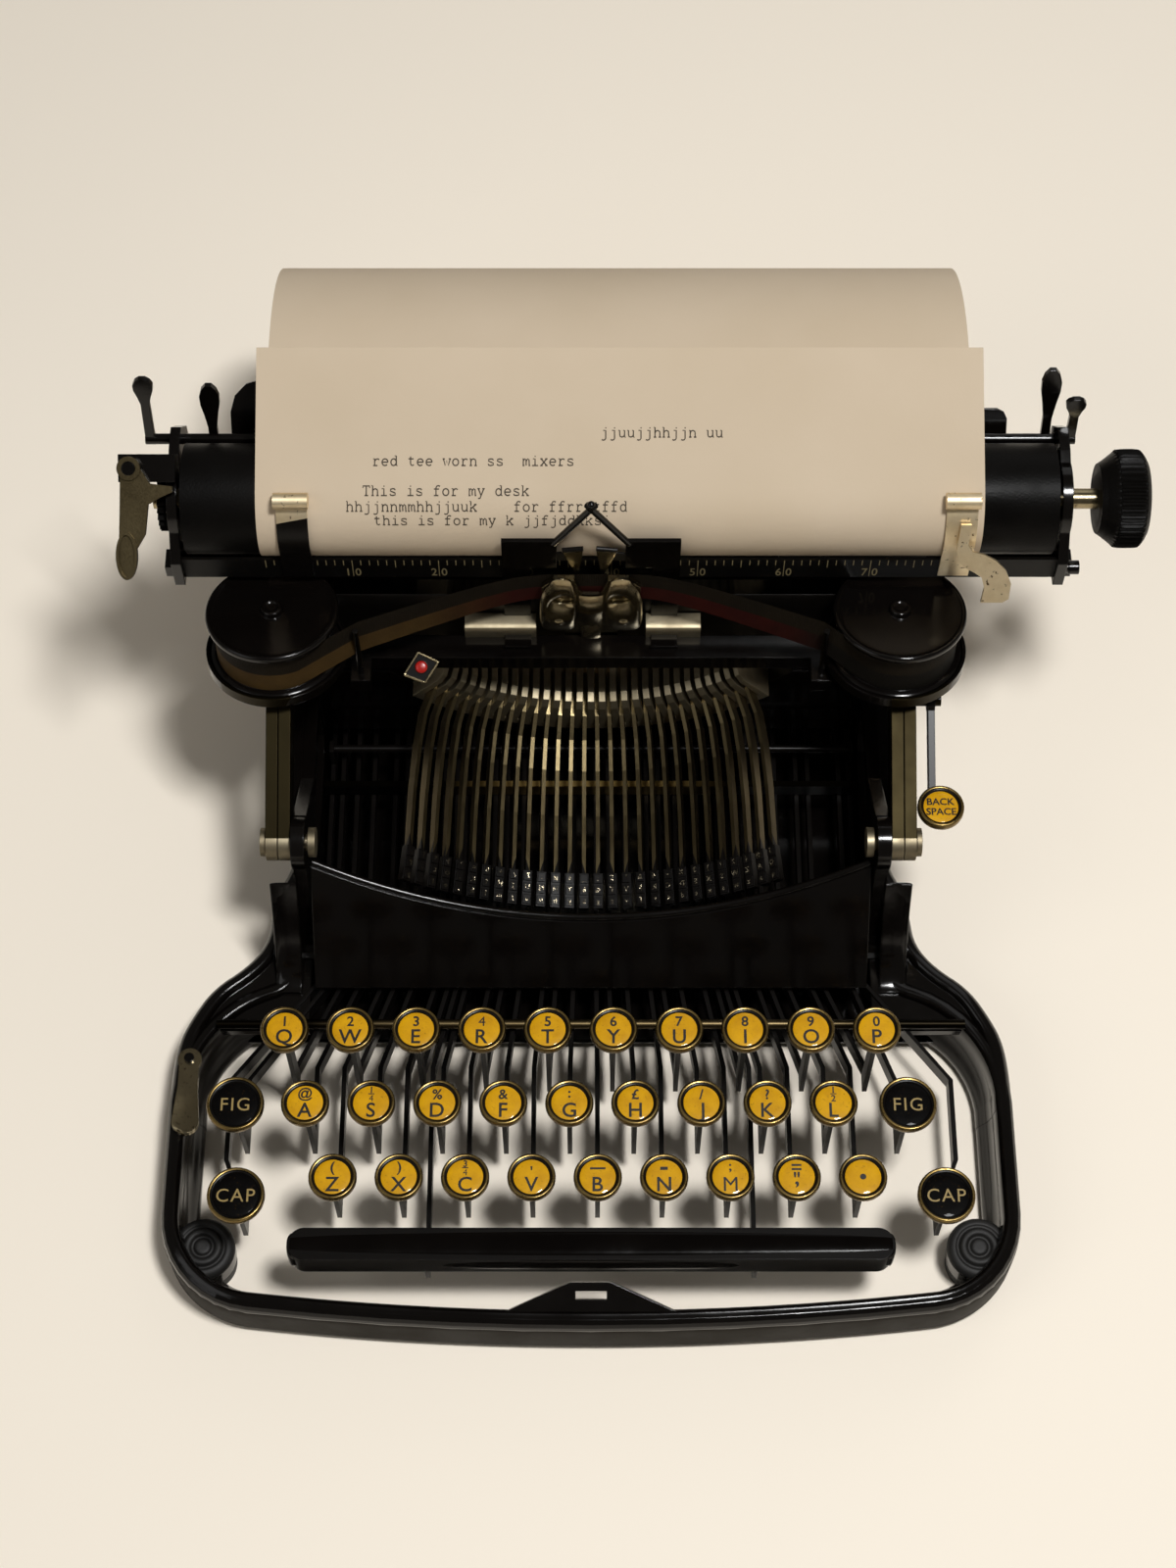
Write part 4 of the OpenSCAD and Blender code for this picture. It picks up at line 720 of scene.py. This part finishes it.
cheek = evenly([[4.2, 101.5], [4.2, 86.2], [9, 85.4], [14.6, 85.8], [15.3, 92], [15.3, 101], [14.2, 107],
                [12.2, 111], [11, 114], [6.0, 114], [4.4, 107]], first=[4.2, 102.2])
slot = evenly([[5.2, 101.2], [6.2, 100.4], [9.5, 100.5], [11.6, 101.4], [11.8, 103.2], [10, 104.4],
               [6.8, 104.6], [5.2, 103.4]], first=[5.2, 102.2])
points, faces = pierced(cheek, slot, 1.5, 79.6)
parts = [(points * [s, 1, 1], faces, nickel) for s in (-1, 1)]
v = np.linspace(0, 1, 40)[:, None]
u = np.linspace(-1, 1, 9)
tongue_y = 78.9 - 1.5 * np.sin(math.pi * v) - 0.5 * np.sin(3 * math.pi * v)
tongue = doubled(spread((3.6 - 0.9 * v) * u, tongue_y + 0.5 * u ** 2, 104 - 26 * v), [0, 0.7, 0])
parts.append((tongue, grid(40, 18, round_cols=True), nickel))
rivet, faces = turned(softened([[0, 0.9], [0.9, 0.8], [1.5, 0.3], [1.6, -0.4]], 2), 24)
for x in (-9.6, 9.6):
    parts.append((spread(rivet[:, 0] + x, 77.6 - rivet[:, 2], rivet[:, 1] + 92), faces, nickel))
piece("vibrator_cheeks", "vibrator", parts)

# Type guide
# Two bright jaws before the platen, on tabs from the card holder's wings, bring each type to its place. Their
# top edges are rolled forward.
guide_x = -0.4
parts = []
v = np.linspace(0, 1, 24)[:, None]
u = np.linspace(0, 1, 9)
inner, outer = 1.9 + 1.6 * v ** 1.3, 8.0 - 4.0 * v ** 1.1
jaw_x = inner + (outer - inner) * u
jaw_z = 124.6 - 15.2 * v - 0.9 * u * (1 - v)
tab = np.array([[6.0, 118], [11.5, 117], [11.5, 121], [7.0, 121.5]])
for s in (-1, 1):
    jaw = doubled(spread(s * jaw_x + guide_x, 82.5 + 0.5 * v, jaw_z), [0, 0.8, 0])
    parts.append((jaw, grid(24, 18, round_cols=True), nickel))
    roll = spread(s * np.linspace(1.9, 8.0, 12) + guide_x, 82.4, np.linspace(124.7, 123.8, 12))
    parts.append((*tube(roll, 0.75), black_steel))
    arm = spread(s * tab[:, 0] + guide_x, np.array([[82.9], [83.6]]), tab[:, 1])
    parts.append((*capped(arm), black_steel))
piece("type_guide", "folding_frame", parts)

# Ribbon guard
# Two nickelled angle strips screwed to the back of the front bar, with a blackened strip behind the ribbon,
# keep it off the type and the platen. The blackened strip is painted shade: a black sheet where the table
# seen behind would lie in shadow. A small plate with a red enamel dot on the bar's front shows which half
# prints.
angle = softened([[78.2, 81.5], [78.2, 86.3], [78.9, 87.0], [83.6, 87.4], [83.7, 86.7], [79.2, 86.2],
                  [78.9, 85.6], [78.9, 81.5]], 1)
# painted shade: the black strip behind the ribbon
strip = softened([[84.0, 72.0], [84.0, 96.2], [84.3, 96.9], [84.7, 96.2], [84.7, 72.0]], 1)
parts = []
for section, x0, x1, coat in ((angle, -38, -16.5, dull_nickel), (angle, 16.5, 33, dull_nickel),
                              (strip, -78, 75, black_steel)):
    parts.append((*capped(spread(np.array([[x0], [x1]]), section[:, 0], section[:, 1])), coat))
tip = math.radians(28)
TIP = np.array([[1, 0, 0], [0, math.cos(tip), -math.sin(tip)], [0, math.sin(tip), math.cos(tip)]])
seat = np.array([-51.0, 68.6, 80.6])
corners = np.array([[-5.4, -2.4], [1.2, -4.9], [5.4, 1.6], [-1.0, 4.6]])
shrunk, height = np.array([[0, 0.96, 1, 0.94, 0], [0, 0, 0.4, 0.9, 0.9]])[..., None]
plate = spread(corners[:, 0] * shrunk, corners[:, 1] * shrunk, height)
parts.append((plate @ TIP.T + seat, grid(5, 4, round_cols=True), black_steel))
hem = np.concatenate([corners, np.full((4, 1), 0.7)], 1) * 0.95
hem = hem[:, None] + (np.roll(hem, -1, 0) - hem)[:, None] * np.linspace(0, 0.95, 10)[:, None]
hem = hem.reshape(-1, 3)
parts.append((*tube(np.concatenate([hem, hem[:1]]) @ TIP.T + seat, 0.45, 8), nickel))
# Red enamel: a glassy bead, darker in its depth
red_dot = mottled("red_enamel_dot", ("#c01a12", "#7d0f0a"), 900, rough=0.3)
dot, faces = turned(softened([[0, 1.5], [1.2, 1.4], [1.8, 1.1], [1.9, 0.7]], 2), 28)
parts.append((dot @ TIP.T + seat, faces, red_dot))
parts.append((*tube([[-51, 68.8, 80.4], [-51, 71.5, 79.8], [-51, 74, 79.5]], 1.6), nickel))
piece("ribbon_guard", "folding_frame", parts)

# Carriage
# Two japanned end plates with slides hold the platen. A black strip below the platen carries the line scale,
# engraved and filled with white.
# Spotted nickel: painted pale, lighter than the plate's own colour, as painted light on the paper fingers;
# scratched matt, specked brown with rust about 1 mm across
spotted_nickel_painted_light = mottled("nickel_plate_spotted_painted_light", ("#fff0d2", "#cdb78c"), 160, 6.0, 0.6,
                         rough=(0.0, 1.0, 0.38, 0.6), specks=(620, 3.0, 0.64, 0.72, "#5b4425"), shader=METAL)
# White paint in engraving: yellowed, and rubbed thin in grains
white_fill = mottled("white_paint_in_engraving", ("#a4966f", "#75684a"), 1500, 3.0)
for node in ("carriage_frame", "paper_table", "rail_bed", "carriage_release", "paper_release"):
    dress(node, japan)
dress("platen_scale", printed("matt_black_lacquer", "#060504", "#0a0806", 0.0))
dress("line_space_lever", steel)
dress("paper_fingers", spotted_nickel_painted_light, black_steel, pick=lambda c: (c[:, 0] < 0) & (c[:, 2] < 131.5))
dress("feed_rollers", rubber)

platen_y, platen_z, platen_r = 102.2, 121.0, 16.2
pica, zero, last, tick_w, tick_top = 2.54, -95.6, 85, 0.26, 113.2
scale_face = platen_y - platen_r - 0.25
count = np.arange(last)[:, None]
tall = np.where((count % 10 == 0) & (count > 0), 8.6, np.where(count % 5 == 0, 3.9, 2.7))
corner = np.array([[-0.5, 1], [0.5, 1], [0.5, 0], [-0.5, 0]])
ticks = spread(zero + pica * count + tick_w * corner[:, 0], scale_face, tick_top - tall * corner[:, 1])
marks = [(ticks, np.arange(last * 4).reshape(last, 4).tolist(), white_fill)]
for n in range(10, 90, 10):
    for digit, side in zip(str(n), (-1, 1)):
        flat, corners = lettering(digit, 0.01)
        x = zero + pica * n + side * 1.5 + flat[:, 0] * 2.7
        marks.append((spread(x, scale_face, flat[:, 1] * 4.0 + 105.0), corners, white_fill))
piece("scale_marks", "carriage", marks)

# Platen
# A hard rubber roller on a steel shaft carries the paper past the type. It is turned by a knob of the same
# rubber on the right, which is knurled round its rim.
# Hard rubber: black, ground smooth, grey where paper and type have polished it in bands about 20 mm wide
platen_rubber = mottled("hard_rubber_roller", ("#050505", "#0e0c0a"), 50, 6.0, rough=(0.3, 0.7, 0.3, 0.5),
                        relief=(1400, 3.0, 0.2, 0.0003), shader={"Specular IOR Level": 0.06})
shaft_r, knob_x, knurls = 3.2, 148.25, 44
dress("platen", platen_rubber, nickel,
      pick=lambda c: np.hypot(c[:, 1] - platen_y, c[:, 2] - platen_z) < shaft_r)
outline = softened([[3.0, 0], [9.4, 0], [10.8, 1.0], [13.6, 4.6], [14.5, 5.4], [14.5, 11.8], [13.9, 12.6],
                    [11.8, 14.1], [7.0, 14.3], [0, 14.3]], 2)
mask = np.clip((outline[:, 1] - 4.4) / 0.8, 0, 1) * np.clip((12.6 - outline[:, 1]) / 0.8, 0, 1)
points, faces = turned(outline, knurls * 8, 0.85, knurls, mask)
knob = points[:, [2, 0, 1]] + [knob_x, platen_y, platen_z]
piece("platen_knob", "platen_roller", [(knob, faces, platen_rubber)])

# Paper
# One sheet of typing paper, wound round the platen, its typed face upright in front and its tail curling down
# behind. It carries a few lines of typing practice.
# Aged typing paper: cream, a little browner in clouds about 40 mm wide, with fibres about 1 mm long
paper = mottled("typing_paper_aged", ("#ccbba4", "#bfad93"), 25, 5.0, rough=0.85,
                relief=(1100, 4.0, 0.12, 0.0002))
# Ribbon ink: brown-black, thin in grains where the cloth was dry
typed_ink = mottled("ribbon_ink_on_paper", ("#1f1913", "#5a4e3f"), 900, 3.0, rough=0.8)
sheet_x, sheet_w, lead_len = 8.3, 210, 41
sheet_r = platen_r + 0.45
# angles at which the sheet leaves the platen in front and meets it behind
off, on = math.radians(113), math.radians(-40)


def bend(p, t):
    """A cubic curve through p's first and last points, pulled towards the two between."""
    t = t[:, None]
    return (1 - t) ** 3 * p[0] + 3 * t * (1 - t) ** 2 * p[1] + 3 * t * t * (1 - t) * p[2] + t ** 3 * p[3]


def round_platen(a):
    """Points at angles a round the platen, where the middle of the sheet lies."""
    return sheet_r * np.stack([np.cos(a), np.sin(a)], -1)


leave, meet = round_platen(np.array([off, on]))
front_way, back_way = np.array([math.sin(off), -math.cos(off)]), np.array([-math.sin(on), math.cos(on)])
crest, tail_1, tail_2, tail_end = np.array([[97.0, -15], [111, -32.4], [124.0, -58], [126.5, -97]])
side = np.concatenate([
    leave + np.linspace(1, 0, 24)[:-1, None] * lead_len * front_way,
    round_platen(np.linspace(off, 2 * math.pi + on, 90)),
    bend([meet, meet + 28 * back_way, np.array([72.0, 16]), crest], np.linspace(0, 1, 50)[1:]),
    bend([crest, tail_1, tail_2, tail_end], np.linspace(0, 1, 36)[1:])])
normal = left_of(side)
x = np.linspace(sheet_x - sheet_w / 2, sheet_x + sheet_w / 2, 43)
near, back = (spread(x, platen_y + line[:, :1], platen_z + line[:, 1:])
              for line in (side + 0.1 * normal, side - 0.1 * normal))
shell = np.concatenate([near, back[:, ::-1]], 1)
parts = [(shell, grid(len(side), 86, round_cols=True), paper)]

arc = np.radians(np.linspace(0, 360, 25))
oval = np.stack([np.cos(arc), np.sin(arc)], -1)
arch = [(0.2, 0.6), (0.35, 0.9), (0.65, 1), (0.95, 0.85), (1, 0.6), (1, 0)]
tall_stem = [(0, 1.45), (0.2, 1.45), (0.2, 0)]
feet = [(0, 0), (0.4, 0)], [(0.8, 0), (1.2, 0)]
tips = [(0, 1), (0.4, 1)], [(0.8, 1), (1.2, 1)]
struck = {  # typewriter letters as pen strokes on a cell 1.2 wide with x-height 1: straight runs and ovals
    "t": [[(0.45, 1.35), (0.45, 0.3), (0.55, 0.08), (0.75, 0), (1, 0.12)], [(0.1, 1), (0.95, 1)]],
    "h": [tall_stem, arch, *feet],
    "n": [[(0, 1), (0.2, 1), (0.2, 0)], arch, *feet],
    "m": [[(0, 1), (0.12, 1), (0.12, 0)], [(0.12, 0.7), (0.35, 1), (0.58, 0.85), (0.6, 0)],
          [(0.6, 0.7), (0.85, 1), (1.07, 0.85), (1.1, 0)], [(0, 0), (0.3, 0)], [(1, 0), (1.25, 0)]],
    "u": [[(0, 1), (0.2, 1), (0.2, 0.4), (0.3, 0.1), (0.6, 0), (0.9, 0.15), (1, 0.4)],
          [(0.8, 1), (1, 1), (1, 0), (1.2, 0)]],
    "i": [[(0.25, 1), (0.6, 1), (0.6, 0)], [(0.1, 0), (1.1, 0)], [(0.52, 1.38), (0.7, 1.38)]],
    "j": [[(0.4, 1), (0.8, 1), (0.8, -0.2), (0.65, -0.4), (0.35, -0.45), (0.15, -0.36)],
          [(0.72, 1.38), (0.9, 1.38)]],
    "k": [tall_stem, [(1, 1), (0.25, 0.42)], [(0.5, 0.6), (1.05, 0)], [(0, 0), (0.42, 0)],
          [(0.8, 0), (1.2, 0)], [(0.72, 1), (1.15, 1)]],
    "x": [[(0.15, 1), (1.05, 0)], [(1.05, 1), (0.15, 0)], *tips, *feet],
    "w": [[(0.05, 1), (0.35, 0), (0.6, 0.75), (0.85, 0), (1.15, 1)], [(-0.08, 1), (0.28, 1)],
          [(0.92, 1), (1.28, 1)]],
    "y": [[(0.15, 1), (0.6, 0)], [(1.05, 1), (0.6, 0), (0.42, -0.42), (0.1, -0.42)], *tips],
    "s": [[(1, 0.78), (0.9, 0.96), (0.6, 1), (0.25, 0.92), (0.2, 0.68), (0.6, 0.52), (1, 0.36), (1, 0.1),
           (0.6, 0), (0.25, 0.05), (0.15, 0.25)]],
    "r": [[(0.1, 1), (0.35, 1), (0.35, 0)], [(0.1, 0), (0.8, 0)],
          [(0.35, 0.65), (0.6, 0.95), (0.9, 1), (1.1, 0.85)]],
    "f": [[(0.1, 0), (0.85, 0)], [(0.45, 0), (0.45, 1.15), (0.6, 1.4), (0.85, 1.45), (1.1, 1.35)],
          [(0.1, 0.95), (0.95, 0.95)]],
    "o": [oval * [0.48, 0.5] + [0.6, 0.5]],
    "e": [oval[:-3] * [0.48, 0.5] + [0.6, 0.5], [(0.12, 0.5), (1.08, 0.5)]],
    "d": [[(0.75, 1.45), (1, 1.45), (1, 0), (1.2, 0)], oval * [0.44, 0.5] + [0.56, 0.5]],
    "T": [[(0.05, 1.1), (0.05, 1.4), (1.15, 1.4), (1.15, 1.1)], [(0.6, 1.4), (0.6, 0)], [(0.3, 0), (0.9, 0)]]}


def stroke(points, pen=0.1):
    """A flat strip along a line of points: each point is set off to both sides along the line's normal."""
    p = np.asarray(points, float)
    off = pen * left_of(p)
    return np.stack([p + off, p - off], 1).reshape(-1, 2), grid(len(p), 2).tolist()


# rows of type: distance of the line from the sheet's top edge, place of its first letter, letters
typing = [(26.3, 2.8, "jjuujjhhjjn uu"), (34.6, -62.9, "red tee worn ss  mixers"),
          (43.3, -65.7, "This is for my desk"), (47.8, -70.5, "hhjjnnmmhhjjuuk    for ffrrttffd"),
          (51.9, -62.6, "this is for my k jjfjddkksi")]
x_height, letter_w = 1.95, 1.75
along = lengths(side)
face = side + 0.16 * normal * np.sign(normal[3, 1])
for down, left, text in typing:
    for i, letter in enumerate(text):
        for points in struck.get(letter, ()):
            flat, corners = stroke(points)
            q = down - x_height * flat[:, 1]
            spot = spread(left + pica * i + letter_w * flat[:, 0], platen_y + np.interp(q, along, face[:, 0]),
                          platen_z + np.interp(q, along, face[:, 1]))
            parts.append((spot, corners, typed_ink))
piece("typed_sheet", "carriage", parts, stands_for=["paper"])

# Floor, light and camera
# A pale table under three panels of light: a small bright one high on the right, a broad one on the left and
# one behind. The camera stands as the photograph's did, about 0.9 m away and 62 degrees down.
table, t = finish("pale_table")
look = add(t, "ShaderNodeBsdfPrincipled", {"Base Color": linear("#fcf2e2"), "Roughness": 0.7})["BSDF"]
add(t, "ShaderNodeOutputMaterial", {"Surface": look})
top = bpy.data.meshes.new("table_top")
top.from_pydata([(-4, -4, 0), (4, -4, 0), (4, 4, 0), (-4, 4, 0)], [], [(0, 1, 2, 3)])
top.materials.append(table)
floor = bpy.data.objects.new("table_top", top)
bpy.context.scene.collection.objects.link(floor)

world = bpy.data.worlds.new("studio")
world.use_nodes = True
bpy.context.scene.world = world
world.node_tree.nodes["Background"].inputs["Color"].default_value = linear("#d8d2c8")
world.node_tree.nodes["Background"].inputs["Strength"].default_value = 0.16


def panel_light(name, spot, size, watts, aim=(0, 0, 0.08)):
    """A square panel of light turned towards the machine."""
    lamp = bpy.data.lights.new(name, "AREA")
    lamp.size = size
    lamp.energy = watts
    made = bpy.data.objects.new(name, lamp)
    made.location = spot
    way = np.array(aim) - np.array(spot)
    turn = math.atan2(way[1], way[0]) - math.pi / 2
    made.rotation_euler = (math.acos(-way[2] / np.linalg.norm(way)), 0, turn)
    bpy.context.scene.collection.objects.link(made)


panel_light("key_panel", (0.30, -0.28, 1.45), 0.22, 17)
panel_light("fill_panel", (-1.1, -0.6, 1.1), 0.9, 2.8)
panel_light("back_panel", (0.5, 1.2, 0.9), 1.0, 2.0)

lens = bpy.data.cameras.new("camera")
lens.sensor_fit = "VERTICAL"
lens.sensor_height = 36
lens.lens = 63
camera = bpy.data.objects.new("camera", lens)
camera.location = (-0.0135, -0.4061, 0.793)
camera.rotation_euler = (math.radians(28), 0, 0)
bpy.context.scene.collection.objects.link(camera)
bpy.context.scene.camera = camera
bpy.context.scene.view_settings.view_transform = "Standard"
